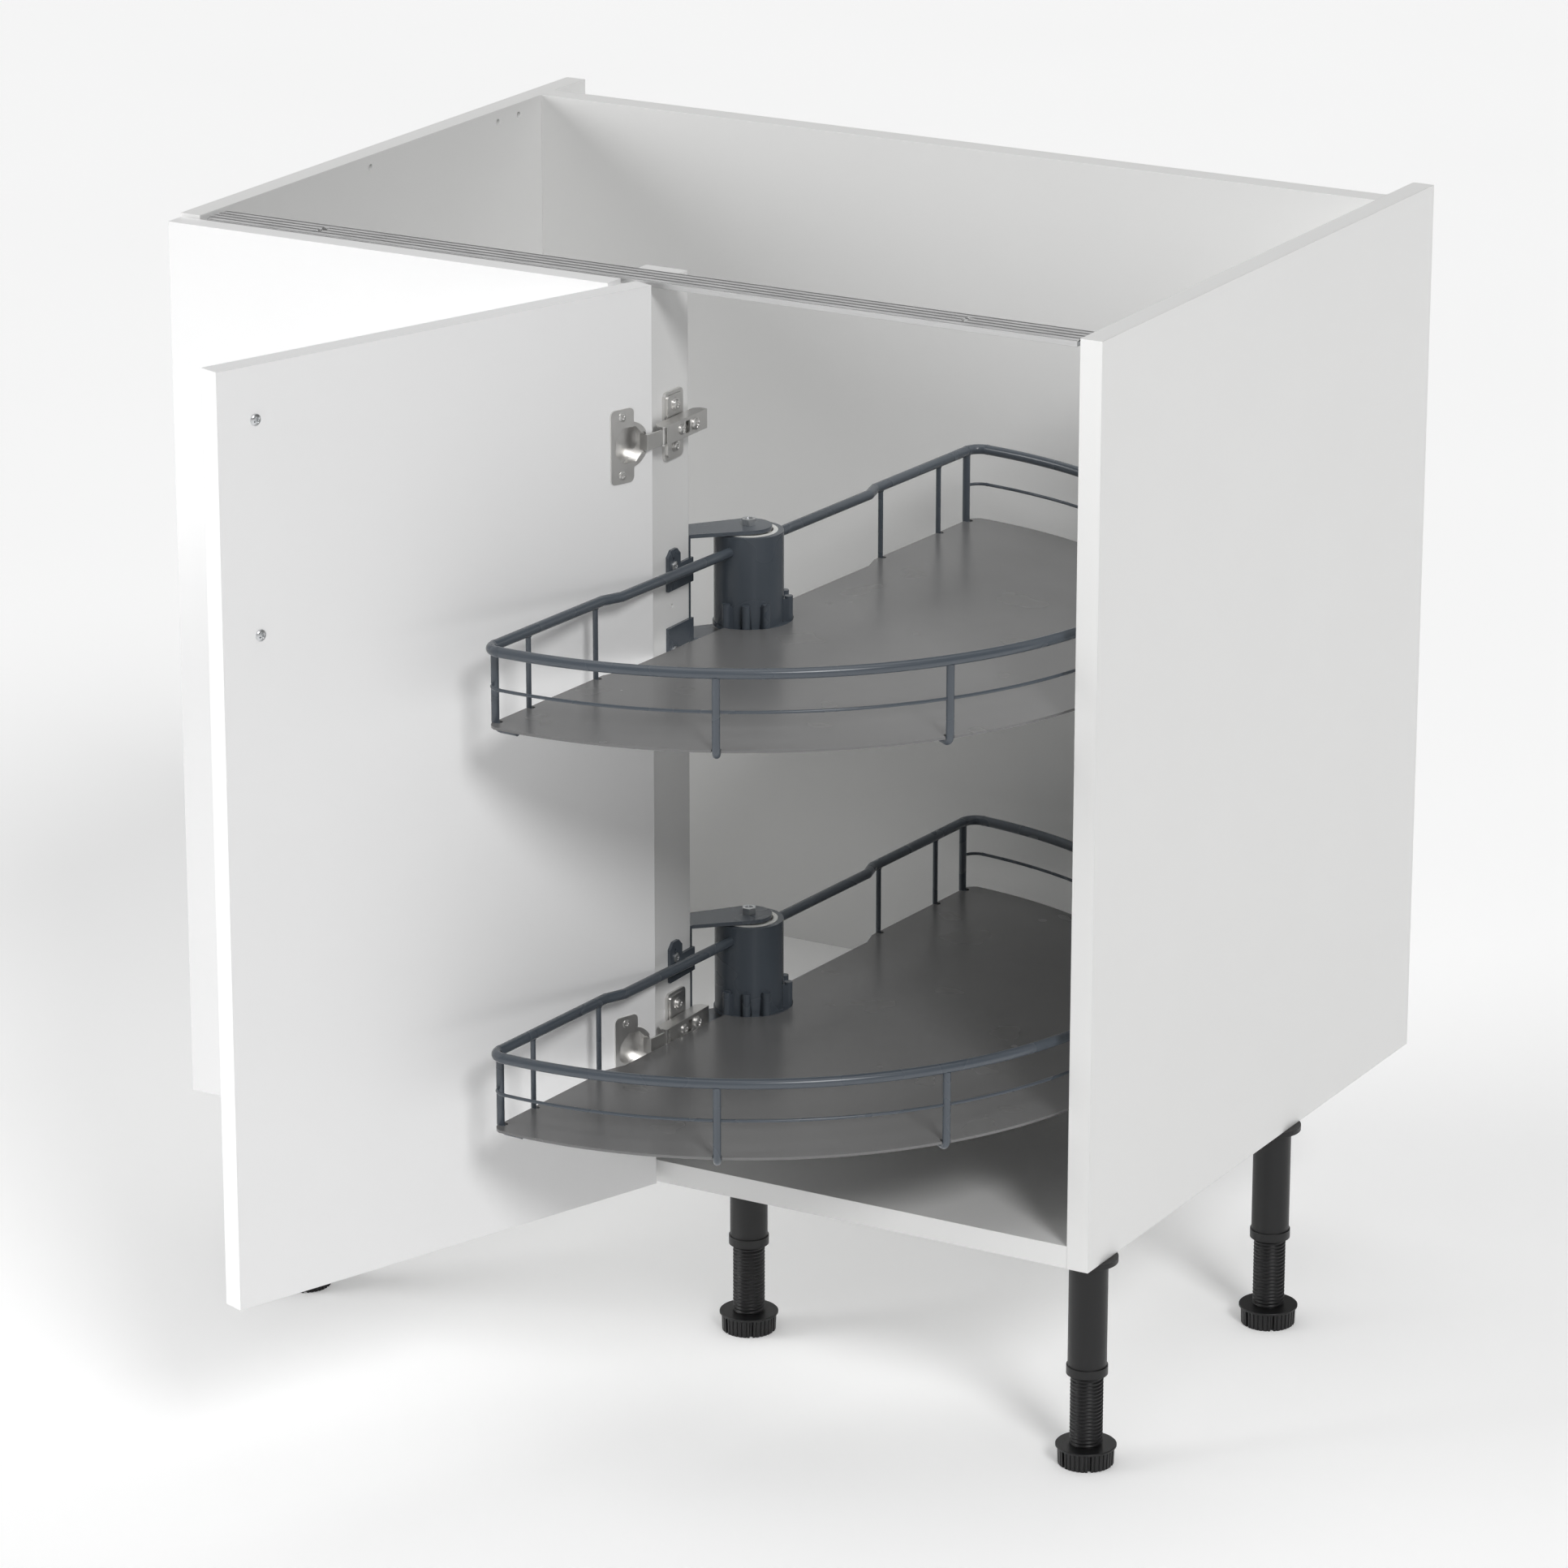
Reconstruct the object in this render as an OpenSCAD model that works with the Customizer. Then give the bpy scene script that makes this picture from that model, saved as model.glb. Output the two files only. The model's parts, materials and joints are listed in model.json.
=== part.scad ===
// Corner base cabinet with two half-moon carousel shelves.
// Millimetres, +Z up. The origin is on the floor, below the front edges of the
// side panels, half way along the cabinet. The front looks towards -Y.
// The door is drawn open and the shelves swung out, because that is the rest pose.

/* [Carcass] */
// Width of the carcass over both side panels
cab_w = 800; // [760:10:1000]
// Depth of the carcass, from the front edges to the wall
cab_d = 570; // [550:5:640]
// Height of the carcass without its legs
cab_h = 720; // [680:10:800]
// Thickness of the carcass boards
board_t = 18; // [17:0.5:19]
// Thickness of the back panel
back_t = 3; // [2.5:0.5:6]
// Space from the face of the back panel to the wall, for pipes
service_d = 70; // [45:1:80]
// Depth of the grooves that hold the back panel
groove_d = 4; // [3:0.5:7]
// Height of the two boards behind the back panel
back_rail_h = 100; // [60:5:140]
// Distance of the bottom panel's front edge behind the side panels' front edges
bottom_setback = 0.5; // [0:0.5:2]

/* [Front rail] */
// Depth of the metal rail, front to back
rail_w = 30; // [24:1:40]
// Thickness of the rail's sheet
rail_t = 1; // [0.8:0.1:1.5]
// Height of the rail's front and rear lips
rail_lip = 5.5; // [5:0.5:8]
// Distance of the rail below the top of the side panels
rail_drop = 2; // [1:0.5:5]
// Distance of the rail behind the front edges
rail_setback = 3; // [2.5:0.5:5]
// Gap between each end of the rail and the side panel
rail_gap = 4; // [2:0.5:6]
// Height of the rail's ribs
rib_h = 1.2; // [0.6:0.2:2]
// Length of the worktop screw slots
slot_len = 12; // [8:1:18]
// Width of the worktop screw slots
slot_w = 5; // [4:0.5:6]
// Distance from each side panel's outer face to its slot
slot_in = 120; // [80:5:200]

/* [Post] */
// Depth of the post that the door hangs on, front to back
post_d = 62; // [60:1:90]
// Step of the hinge board behind the other board, room for the door's corner
post_step = 3; // [2.8:0.1:4]

/* [Fronts] */
// Width of the door
door_w = 396; // [380:1:440]
// Thickness of the door and the blind front
front_t = 18; // [16:1:19]
// Gap between a front's edge and the middle of its joint
front_gap = 2; // [1.5:0.5:3]
// Gap between a front and the carcass behind it
front_off = 2; // [1.5:0.5:3]
// Gap between a front's top and the top of the carcass
front_reveal = 2.5; // [1:0.5:4]
// Angle at which the door stands open
door_open = 110; // [0:5:110]
// Distance from the door's edge to the axis it turns about
pivot_in = 11; // [10:0.5:12]
// Distance from the door's inner face to the axis it turns about
pivot_deep = 13; // [12:0.5:14]

/* [Handle] */
// Distance between the handle's screws
handle_c = 160; // [96:32:224]
// Diameter of the handle's bar
handle_bar = 10; // [8:1:12]
// How far the handle stands out from the door
handle_out = 28; // [24:1:34]
// Distance from the door's free edge to the handle
handle_in = 33; // [25:1:60]
// Distance from the door's top to the handle's upper screw
handle_top = 40; // [30:5:120]
// Radius of the handle's bends, to the middle of the bar
handle_bend = 12; // [9:1:16]

/* [Hinges] */
// Height of the lower hinge above the carcass's underside
hinge_low = 119; // [90:1:180]
// Distance of the upper hinge below the carcass's top
hinge_top = 121; // [90:1:180]
// Diameter of the hinge cup
cup_d = 35; // [34:0.5:36]
// Depth of the hinge cup in the door
cup_deep = 12.5; // [12:0.5:13.5]
// Distance from the door's edge to the middle of the cup
cup_in = 22.5; // [22:0.5:24]
// Distance between the cup's two screws
cup_screw_c = 45; // [42:1:48]
// Width of the hinge arm
arm_h = 15; // [13:0.5:18]
// Distance of the arm's face from the post
arm_out = 15; // [14:0.5:16]
// Distance of the arm's rear end behind the front edges
arm_rear = 65; // [62:1:72]
// Distance between the two screws of a mounting plate
plate_screw_c = 32; // [32:1:40]
// Distance of the mounting plate's middle behind the front edges
plate_y = 37; // [36:1:40]

/* [Carousel] */
// Distance from the post's hinge side to the carousel's axis, sideways
hub_out = 24; // [22:1:30]
// Distance from the post's rear face to the carousel's axis
hub_back = 50; // [46:1:60]
// Gap between the shelf's rim and the side panel
shelf_gap = 2; // [1.5:0.5:6]
// Height of the lower shelf above the carcass's underside
shelf_low = 116; // [100:1:140]
// Height of the upper shelf above the carcass's underside
shelf_high = 431; // [380:1:450]
// Thickness of the shelf's sheet
shelf_t = 2; // [1.5:0.5:3]
// Angle of the shelf's straight side when it is swung out
shelf_tilt = 4; // [3:0.5:6]
// Diameter of the shelf's rim rail
rim_d = 8; // [6:0.5:10]
// Height of the rim rail's middle above the shelf
rim_h = 58; // [45:1:65]
// Offset of the outer stretch of the straight rail
rim_step = 6; // [3:0.5:8]
// Radius of the rim's corners
rim_corner = 12; // [10:1:16]
// Distance from the axis to where the straight rail steps out
step_out = 186; // [150:2:220]
// Length over which the straight rail steps out
step_len = 17; // [12:1:30]
// Diameter of the curved side's posts
arc_post_d = 6; // [5:0.5:7]
// Angle between neighbouring posts of the curved side
arc_post_a = 30; // [25:1:34]
// Diameter of the straight side's thin posts
thin_post_d = 4; // [3:0.5:5]
// Distances of the thin posts from the axis
thin_near = 195; // [190:1:225]
// Distance of the outer thin posts from the axis
thin_far = 280; // [250:1:300]
// Diameter of the wire half way up the curved side
mid_wire_d = 2.5; // [2:0.5:4]
// Height of that wire above the shelf
mid_wire_h = 29; // [20:1:35]
// Length of the hooks under the shelf
hook_len = 14; // [10:1:25]

/* [Hub] */
// Outer diameter of the hub tube
hub_d = 54; // [48:1:58]
// Wall of the hub tube
hub_wall = 4.5; // [3:0.5:6]
// Height of the hub tube above the shelf
hub_h = 70; // [66:1:80]
// Width of the prongs round the tube
prong_d = 6.4; // [5:0.2:8]
// How far the prongs stand out from the tube
prong_out = 7; // [5:0.5:9]
// Height of the prongs
prong_h = 18; // [12:1:25]
// Diameter of the fixed spindle
spindle_d = 16; // [12:1:20]
// Running clearance between the spindle and its bushes, on the radius
spindle_clear = 0.06; // [0.02:0.01:0.1]
// Width of the hub flange under the shelf
flange_d = 116; // [104:2:140]

/* [Carousel bracket] */
// Thickness of the bracket's sheet
bracket_t = 3; // [2:0.5:4]
// Radius of the arms' round ends
bracket_r = 18; // [14:1:22]
// Gap between the hub and the arm above it
bracket_gap = 1; // [0.6:0.1:2]
// Distance from the shelf down to the lower arm
bracket_under = 8; // [7.5:0.5:12]

/* [Legs] */
// Height of the carcass above the floor
leg_h = 170; // [140:5:200]
// Diameter of the flange at the top of a leg
leg_flange_d = 45; // [42:1:50]
// Diameter of the leg's tube
leg_tube_d = 30; // [29:0.5:32]
// Length of the leg's tube
leg_tube_l = 96; // [90:1:110]
// Diameter over the thread of a foot
foot_thread_d = 25.5; // [22:0.5:26]
// Pitch of the thread
foot_pitch = 3; // [2:0.2:4]
// Diameter of the foot's disc
foot_disc_d = 47; // [42:1:50]
// Height of the notched skirt under the disc
foot_skirt_h = 14; // [10:1:18]
// Distance of the front legs behind the front edges
leg_front = 33; // [28:1:60]
// Distance of the rear legs behind the front edges
leg_rear = 351; // [300:1:450]
// Distance from the left outer face to the left legs
leg_left_in = 70; // [40:1:120]
// Distance from the right outer face to the right legs
leg_right_in = 16; // [16:1:60]
// Distance of the middle leg behind the front edges
leg_mid_y = 132; // [90:1:200]
// Distance of the middle leg from the joint between the fronts
leg_mid_x = 30; // [0:1:60]

/* [Fastenings] */
// Diameter of the wooden dowels
dowel_d = 8; // [6:1:8]
// Length of the wooden dowels
dowel_l = 32; // [28:1:35]
// Diameter of the wood screws' shanks
screw_d = 4; // [3:0.5:5]
// Diameter of the holes for shelf supports and fittings
system_hole_d = 5; // [4:0.5:6]

/* [Hidden] */
$fn = 64;
eps = 0.01;

white = "#f4f4f2";
slate = "#4b4f54";
shelf_grey = "#808283";
steel = "#b9bcbe";
black = "#2b2b2b";
bush_white = "#eeeeea";
birch = "#d8bd8f";

// Levels and outlines of the carcass
xl = -cab_w / 2;
xr = cab_w / 2;
xli = xl + board_t;
xri = xr - board_t;
z0 = leg_h;
z1 = leg_h + cab_h;
floor_z = z0 + board_t;
back_y = cab_d - service_d;
back_clear = 0.1;
rail_top = z1 - rail_drop;
rail_low = rail_top - rail_lip;

// The joint between the two fronts, and the post centred on it
joint_x = xr - 2 * front_gap - door_w;
post_l = joint_x - board_t;
post_r = joint_x + board_t;

// Fronts, with the door closed
front_in = -front_off;
front_out = front_in - front_t;
front_z0 = z0 + front_reveal;
front_z1 = z1 - front_reveal;
door_l = joint_x + front_gap;
door_r = door_l + door_w;
pivot = [door_l + pivot_in, front_in - pivot_deep, 0];

// Hinges
hinge_zs = [z0 + hinge_low, z1 - hinge_top];
cup_x = door_l + cup_in;
cup_wall = 0.8;
cup_plate_t = 1.2;
cup_screw_back = 7;
cup_screw_x = cup_x + cup_screw_back;
cup_screw_l = 13;
arm_face = post_r + arm_out;
arm_t = 1.2;
arm_window_y = 33.5;
arm_window_h = 9.4;
plate_t = 2.5;
plate_w = 27;
plate_h = plate_screw_c + 21;
link_pin = [arm_face - 2.4, 3.5];
link_pin_r = 1.1;
link_barrel_r = 2;
link_t = 1.5;
// Bends of the link where it goes round the door's corner, from its pin
link_path = [[1.4, -5.5], [-0.6, -21.5], [-7.1, -21]];

// Carousel
hub = [post_r + hub_out, post_d + hub_back];
shelf_r = xri - shelf_gap - rim_d / 2 - hub[0];
shelf_zs = [z0 + shelf_low, z0 + shelf_high];
corner_u = rim_corner - rim_step;
corner_s = sqrt(pow(shelf_r - rim_corner, 2) - pow(corner_u, 2));
corner_a = atan2(corner_s, corner_u);
notch_gap = 0.6;
hook_lead = 2.4;
screw_skin = 0.4;
bead_over = 0.3;
bead_l = 2;
hub_r = hub_d / 2;
prong_at = hub_r + prong_out - prong_d / 2;
hub_hole_r = hub_r + prong_out + 0.5;
flange_t = 2.5;
flange_back_r = hub_r + 1;
flange_screw_r = hub_hole_r + 10;
flange_screw_as = [-60, -20, 20, 60];
bush_in = spindle_d / 2 + spindle_clear;
spindle_top = hub_h + bracket_gap;
bolt_d = 6;
bolt_af = 10;
bolt_head_h = 5;

// Legs
leg_places = [
  [xl + leg_left_in, leg_front, 0], [xr - leg_right_in, leg_front, 180],
  [xl + leg_left_in, leg_rear, 0], [xr - leg_right_in, leg_rear, 180],
  [joint_x + leg_mid_x, leg_mid_y, 180]
];
leg_screw_r = 19;
leg_screw_head = 5.5;
leg_screw_as = [-45, 45];
leg_screw_l = 14;
foot_clear = 0.4;
foot_stem_in = 56;
foot_bore_spare = 28;
foot_ribs = 36;
foot_slot_every = 6;
foot_stem_top = leg_h - foot_stem_in;
leg_flange_t = 4;

// Fastener places that several parts share
dowel_depth = board_t - 5;
dowel_back = 40;
dowel_xyz = [
  for (s = [-1, 1])
    for (p = [[60, z0 + board_t / 2], [back_y - dowel_back, z0 + board_t / 2],
              [back_y + back_t + board_t / 2, z1 - back_rail_h / 2],
              [back_y + back_t + board_t / 2, floor_z + back_rail_h / 2]])
      [s, p[0], p[1]]
];
post_dowel_y = post_d / 2;
door_relief = 4;
post_screw_zs = [for (i = [0:2]) z0 + cab_h * (0.15 + 0.35 * i)];
post_screw_y = post_d - 16;
block_pin_d = 3;
block_pin_y = [rail_setback + rail_w * 0.25, rail_setback + rail_w * 0.75];
block_t = 3;
block_z = rail_low + 0.2;
angle_w = 25;
angle_zs = [z0 + cab_h * 0.17, z0 + cab_h * 0.83];
angle_h = 30;
angle_screw = 15;
// Shelf-support holes beside the top edge of the side panels
side_hole_ys = [48, 240, 432, 464];
side_hole_z = z1 - 10;
hole_deep = 12;
pilot_y = plate_y;
pilot_up = 25;
bracket_ear_y = 36.5;
ear_w = 18;

function tangent(p, c, r, side) =
  let (v = c - p, d = norm(v), a = atan2(v[1], v[0]) + side * asin(r / d),
       l = sqrt(d * d - r * r))
  p + l * [cos(a), sin(a)];

// ---------- Shared shapes ----------

// Rounded rectangle about its middle
module rounded(w, h, r) {
  square([w - 2 * r, h], center = true);
  square([w, h - 2 * r], center = true);
  for (x = [-1, 1], y = [-1, 1])
    translate([x * (w / 2 - r), y * (h / 2 - r)]) circle(r);
}

// Straight round bar between two points
module bar(a, b, d) {
  v = b - a;
  translate(a)
    rotate([0, acos(v[2] / norm(v)), atan2(v[1], v[0])])
      cylinder(d = d, h = norm(v));
}

// Ring segment in the XY plane, about the origin
module bend(r, d, a0, a1) {
  rotate([0, 0, a0]) rotate_extrude(angle = a1 - a0) translate([r, 0]) circle(d = d);
}

// Cross recess for a screw head, cut downwards from z = 0
module cross_recess(w) {
  for (a = [0, 90])
    rotate([0, 0, a]) translate([-w / 2, -w / 10, -w * 0.3]) cube([w, w / 5, w]);
}

// Pan-head screw along -Z with its head's seat at z = 0
module pan_screw(d, l, head_d, head_h) {
  difference() {
    union() {
      translate([0, 0, -l]) cylinder(d = d, h = l + eps);
      cylinder(d = head_d, h = head_h * 0.6);
      translate([0, 0, head_h * 0.6]) cylinder(d1 = head_d, d2 = head_d * 0.6, h = head_h * 0.4);
    }
    translate([0, 0, head_h]) cross_recess(head_d * 0.5);
  }
}

// Countersunk screw along -Z with its head's top at z = 0
module flat_screw(d, l, head_d) {
  difference() {
    union() {
      translate([0, 0, -l]) cylinder(d = d, h = l);
      translate([0, 0, -(head_d - d) / 2]) cylinder(d1 = d, d2 = head_d, h = (head_d - d) / 2);
    }
    cross_recess(head_d * 0.5);
  }
}

// The hole that a countersunk screw fills
module flat_screw_hole(d, l, head_d) {
  translate([0, 0, -l]) cylinder(d = d, h = l + eps);
  translate([0, 0, -(head_d - d) / 2]) cylinder(d1 = d, d2 = head_d, h = (head_d - d) / 2);
}

// Puts a piece drawn for the closed door where it stands with the door open
module on_door() {
  translate(pivot) rotate([0, 0, -door_open]) translate(-pivot) children();
}

// Puts a piece drawn about the hub, bulge towards +X, on a swung-out shelf
module on_shelf(z) {
  translate([hub[0], hub[1], z]) rotate([0, 0, -shelf_tilt]) children();
}

// ---------- Carcass ----------

// The holes and grooves of one side panel, s = -1 for the left one
module side_cuts(s) {
  xi = s * (cab_w / 2 - board_t);
  for (p = dowel_xyz)
    if (p[0] == s)
      translate([xi, p[1], p[2]]) rotate([0, s * 90, 0]) translate([0, 0, -eps])
        cylinder(d = dowel_d, h = dowel_depth + eps);
  translate([xi + (s < 0 ? -groove_d : 0), back_y - back_clear / 2, floor_z - groove_d])
    cube([groove_d, back_t + back_clear, cab_h]);
  for (y = side_hole_ys)
    translate([xi, y, side_hole_z]) rotate([0, s * 90, 0]) translate([0, 0, -eps])
      cylinder(d = system_hole_d, h = hole_deep + eps);
  for (y = block_pin_y)
    translate([xi, y, block_z + block_t / 2]) rotate([0, s * 90, 0]) translate([0, 0, -eps])
      cylinder(d = block_pin_d, h = 8 + eps);
}

module left_side_panel() {
  color(white) difference() {
    translate([xl, 0, z0]) cube([board_t, cab_d, cab_h]);
    side_cuts(-1);
    for (z = angle_zs)
      translate([xli, angle_screw, z]) rotate([0, 90, 0]) translate([0, 0, -10])
        cylinder(d = screw_d, h = 10 + eps);
  }
}

module right_side_panel() {
  color(white) difference() {
    translate([xri, 0, z0]) cube([board_t, cab_d, cab_h]);
    side_cuts(1);
  }
}

module bottom_panel() {
  color(white) difference() {
    translate([xli, bottom_setback, z0])
      cube([xri - xli, cab_d - bottom_setback, board_t]);
    // Relief where the door's edge swings past, in line with the post's front
    translate([joint_x, -eps, z0 - eps])
      cube([board_t + door_relief, post_step + eps, board_t + 2 * eps]);
    translate([xli - eps, back_y - back_clear / 2, floor_z - groove_d])
      cube([xri - xli + 2 * eps, back_t + back_clear, groove_d + eps]);
    for (p = dowel_xyz)
      if (p[2] < floor_z)
        translate([p[0] * xri, p[1], p[2]]) rotate([0, -p[0] * 90, 0])
          translate([0, 0, -eps]) cylinder(d = dowel_d, h = dowel_l - dowel_depth + eps);
    for (x = [-1, 1])
      translate([joint_x + x * board_t / 2, post_dowel_y, floor_z - dowel_depth])
        cylinder(d = dowel_d, h = dowel_depth + eps);
    leg_screw_holes();
  }
}

module back_panel() {
  color(white)
    translate([xli - groove_d, back_y, floor_z - groove_d])
      cube([xri - xli + 2 * groove_d, back_t, z1 - floor_z + groove_d]);
}

// A board behind the back panel, from height z upwards
module back_rail(z) {
  difference() {
    translate([xli, back_y + back_t + back_clear, z])
      cube([xri - xli, board_t, back_rail_h]);
    for (s = [-1, 1])
      translate([s * xri, back_y + back_t + board_t / 2, z + back_rail_h / 2])
        rotate([0, -s * 90, 0]) translate([0, 0, -eps])
          cylinder(d = dowel_d, h = dowel_l - dowel_depth + eps);
  }
}

module upper_back_rail() { color(white) back_rail(z1 - back_rail_h); }
module lower_back_rail() { color(white) back_rail(floor_z); }

module carcass_dowels() {
  color(birch) {
    for (p = dowel_xyz)
      translate([p[0] * (xri + dowel_depth), p[1], p[2]]) rotate([0, -p[0] * 90, 0])
        cylinder(d = dowel_d, h = dowel_l);
    for (x = [-1, 1])
      translate([joint_x + x * board_t / 2, post_dowel_y, floor_z - dowel_depth])
        cylinder(d = dowel_d, h = dowel_l);
  }
}

// ---------- Front rail ----------

rib_pitch = (rail_w - 2 * rail_t) / 4;
// One surface of the ribbed sheet, from front to back, lowered by d
function ribs(d) = [
  for (i = [0:3])
    for (k = [[0.15, 0], [0.3, 1], [0.7, 1], [0.85, 0]])
      [rail_t + (i + k[0]) * rib_pitch, -rib_h + k[1] * rib_h - d]
];

module rail_profile() {
  upper = ribs(0);
  lower = ribs(rail_t);
  polygon(concat(
    [[0, -rail_lip], [0, -rib_h]], upper, [[rail_w, -rib_h], [rail_w, -rail_lip],
    [rail_w - rail_t, -rail_lip], [rail_w - rail_t, -rib_h - rail_t]],
    [for (i = [len(lower) - 1:-1:0]) lower[i]],
    [[rail_t, -rib_h - rail_t], [rail_t, -rail_lip]]));
}

module front_rail() {
  len_x = xri - xli - 2 * rail_gap;
  color("#a9acae") difference() {
    translate([xli + rail_gap, rail_setback, rail_top])
      rotate([90, 0, 90]) linear_extrude(len_x) rail_profile();
    for (x = [xl + slot_in, xr - slot_in])
      translate([x, rail_setback + rail_w / 2, rail_top - 2 * rail_lip]) linear_extrude(3 * rail_lip) {
        square([slot_w, slot_len - slot_w], center = true);
        for (y = [-1, 1]) translate([0, y * (slot_len - slot_w) / 2]) circle(d = slot_w);
      }
  }
}

module rail_end_blocks() {
  block_l = 24;
  color("#8b8e90")
    for (s = [-1, 1]) {
      x_end = s * (xri - rail_gap);
      translate([s < 0 ? x_end : x_end - block_l, rail_setback + rail_t + 0.2, block_z])
        cube([block_l, rail_w - 2 * rail_t - 0.4, rail_top - rib_h - rail_t - block_z]);
      for (y = block_pin_y)
        translate([x_end - s * 6, y, block_z + block_t / 2]) rotate([0, s * 90, 0])
          cylinder(d = block_pin_d, h = 6 + rail_gap + 8);
    }
}

// ---------- Post ----------

post_top = rail_low;

module post_holes() {
  for (z = post_screw_zs)
    translate([post_l, post_screw_y, z]) rotate([0, -90, 0])
      flat_screw_hole(screw_d, 1.6 * board_t, 2 * screw_d);
}

module post_blind_board() {
  color(white) difference() {
    translate([post_l, 0, floor_z]) cube([board_t, post_d, post_top - floor_z]);
    post_holes();
    translate([joint_x - board_t / 2, post_dowel_y, floor_z - eps])
      cylinder(d = dowel_d, h = dowel_l - dowel_depth + eps);
    for (z = angle_zs)
      translate([post_l - eps, angle_screw, z]) rotate([0, 90, 0])
        cylinder(d = screw_d, h = 10 + eps);
  }
}

module post_hinge_board() {
  color(white) difference() {
    translate([joint_x, post_step, floor_z])
      cube([board_t, post_d - post_step, post_top - floor_z]);
    post_holes();
    translate([joint_x + board_t / 2, post_dowel_y, floor_z - eps])
      cylinder(d = dowel_d, h = dowel_l - dowel_depth + eps);
    for (zh = hinge_zs, s = [-1, 1])
      translate([post_r, plate_y, zh + s * plate_screw_c / 2]) rotate([0, 90, 0])
        translate([0, 0, -13]) cylinder(d = screw_d, h = 13 + eps);
    for (zs = shelf_zs) {
      for (dz = ear_screws(zs))
        translate([post_r, bracket_ear_y, zs + dz]) rotate([0, 90, 0])
          translate([0, 0, -13]) cylinder(d = screw_d, h = 13 + eps);
      translate([post_r, pilot_y, zs + pilot_up]) rotate([0, 90, 0])
        translate([0, 0, -6]) cylinder(d = 3, h = 6 + eps);
    }
  }
}

module post_screws() {
  color(steel)
    for (z = post_screw_zs)
      translate([post_l, post_screw_y, z]) rotate([0, -90, 0])
        flat_screw(screw_d, 1.6 * board_t, 2 * screw_d);
}

// ---------- Blind front ----------

module blind_front() {
  color(white) difference() {
    translate([xl + front_gap, front_out, front_z0])
      cube([joint_x - front_gap - (xl + front_gap), front_t, front_z1 - front_z0]);
    for (x = [xli + angle_screw, post_l - angle_screw], z = angle_zs)
      translate([x, front_in, z]) rotate([90, 0, 0]) translate([0, 0, -eps])
        cylinder(d = screw_d, h = 12 + eps);
  }
}

// An angle in the corner at x, reaching towards s; its front leg fills the gap
module front_angle(x, s, z) {
  difference() {
    union() {
      translate([min(x, x + s * angle_w), front_in, z - angle_h / 2])
        cube([angle_w, front_off, angle_h]);
      translate([min(x, x + s * front_off), front_in, z - angle_h / 2])
        cube([front_off, angle_w, angle_h]);
    }
    translate([x + s * angle_screw, 5, z]) rotate([90, 0, 0]) cylinder(d = screw_d + 0.4, h = 10);
    translate([x - 5, angle_screw, z]) rotate([0, 90, 0]) cylinder(d = screw_d + 0.4, h = 10);
  }
}

module blind_front_brackets() {
  color(steel)
    for (z = angle_zs) {
      front_angle(xli, 1, z);
      front_angle(post_l, -1, z);
    }
}

module blind_front_screws() {
  color(steel)
    for (z = angle_zs, e = [[xli, 1], [post_l, -1]]) {
      translate([e[0] + e[1] * angle_screw, 0, z]) rotate([-90, 0, 0])
        pan_screw(screw_d, 12 + front_off, 8, 2.4);
      translate([e[0] + e[1] * front_off, angle_screw, z]) rotate([0, e[1] * 90, 0])
        pan_screw(screw_d, 9 + front_off, 8, 2.4);
    }
}

// ---------- Carousel brackets ----------

arm_up = spindle_top;
arm_down = -bracket_under;
ear_top = 70;
tab_top = [38, 57];
tab_low = [-9, 9];
ear_bottom = -22;
ear_screw_top = 57;
ear_screw_low = -10;
low_ear_drop = 36;
tab_front = 28;

// One arm seen from above, from the post to its round end at the hub
module arm_outline() {
  a = [post_l, post_d + bracket_t];
  b = [post_r, post_d + bracket_t];
  polygon([a, [post_l, post_d], [post_r, post_d], b,
           tangent(b, hub, bracket_r, -1), hub, tangent(a, hub, bracket_r, 1)]);
  translate(hub) circle(bracket_r);
}

// How far the lower ear of a bracket is moved down to miss the hinge beside it
function ear_drop(z) = z == shelf_zs[0] ? low_ear_drop : 0;
function ear_screws(z) = [ear_screw_top, ear_screw_low - ear_drop(z)];

// The bracket of one shelf, z is the top of its sheet
module carousel_bracket(z) {
  low = [tab_low[0] - ear_drop(z), tab_low[1] - ear_drop(z)];
  ear_z = ear_bottom - ear_drop(z);
  plate_z = min(low[0], arm_down - bracket_t);
  difference() {
    union() {
      for (h = [arm_up, arm_down - bracket_t])
        translate([0, 0, z + h]) linear_extrude(bracket_t) arm_outline();
      translate([post_l, post_d, z + plate_z])
        cube([2 * board_t, bracket_t, arm_up - plate_z + bracket_t]);
      for (t = [[tab_top, [tab_top[0], ear_top]], [low, [ear_z, low[1]]]]) {
        translate([post_r, tab_front, z + t[0][0]])
          cube([bracket_t - 0.5, post_d + bracket_t - tab_front, t[0][1] - t[0][0]]);
        translate([post_r, tab_front, z + t[1][0]])
          difference() {
            cube([bracket_t - 0.5, ear_w, t[1][1] - t[1][0]]);
            // Chamfered tip of the ear
            for (k = [0, 1])
              translate([-1, k * ear_w, t[1][0] == ear_z ? 0 : t[1][1] - t[1][0]])
                rotate([45, 0, 0]) cube([9, 7, 7], center = true);
          }
      }
    }
    for (h = [arm_up, arm_down - bracket_t])
      translate([hub[0], hub[1], z + h - 1]) cylinder(d = bolt_d + 0.2, h = bracket_t + 2);
    for (dz = ear_screws(z))
      translate([post_r - 1, bracket_ear_y, z + dz]) rotate([0, 90, 0])
        cylinder(d = screw_d + 0.3, h = bracket_t + 2);
    // Upper end of the keyhole, where the screw's head goes through
    translate([post_r - 1, bracket_ear_y - 1, z + ear_screw_top + 5.5]) rotate([0, 90, 0])
      cylinder(d = 3, h = bracket_t + 2);
  }
}

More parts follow.
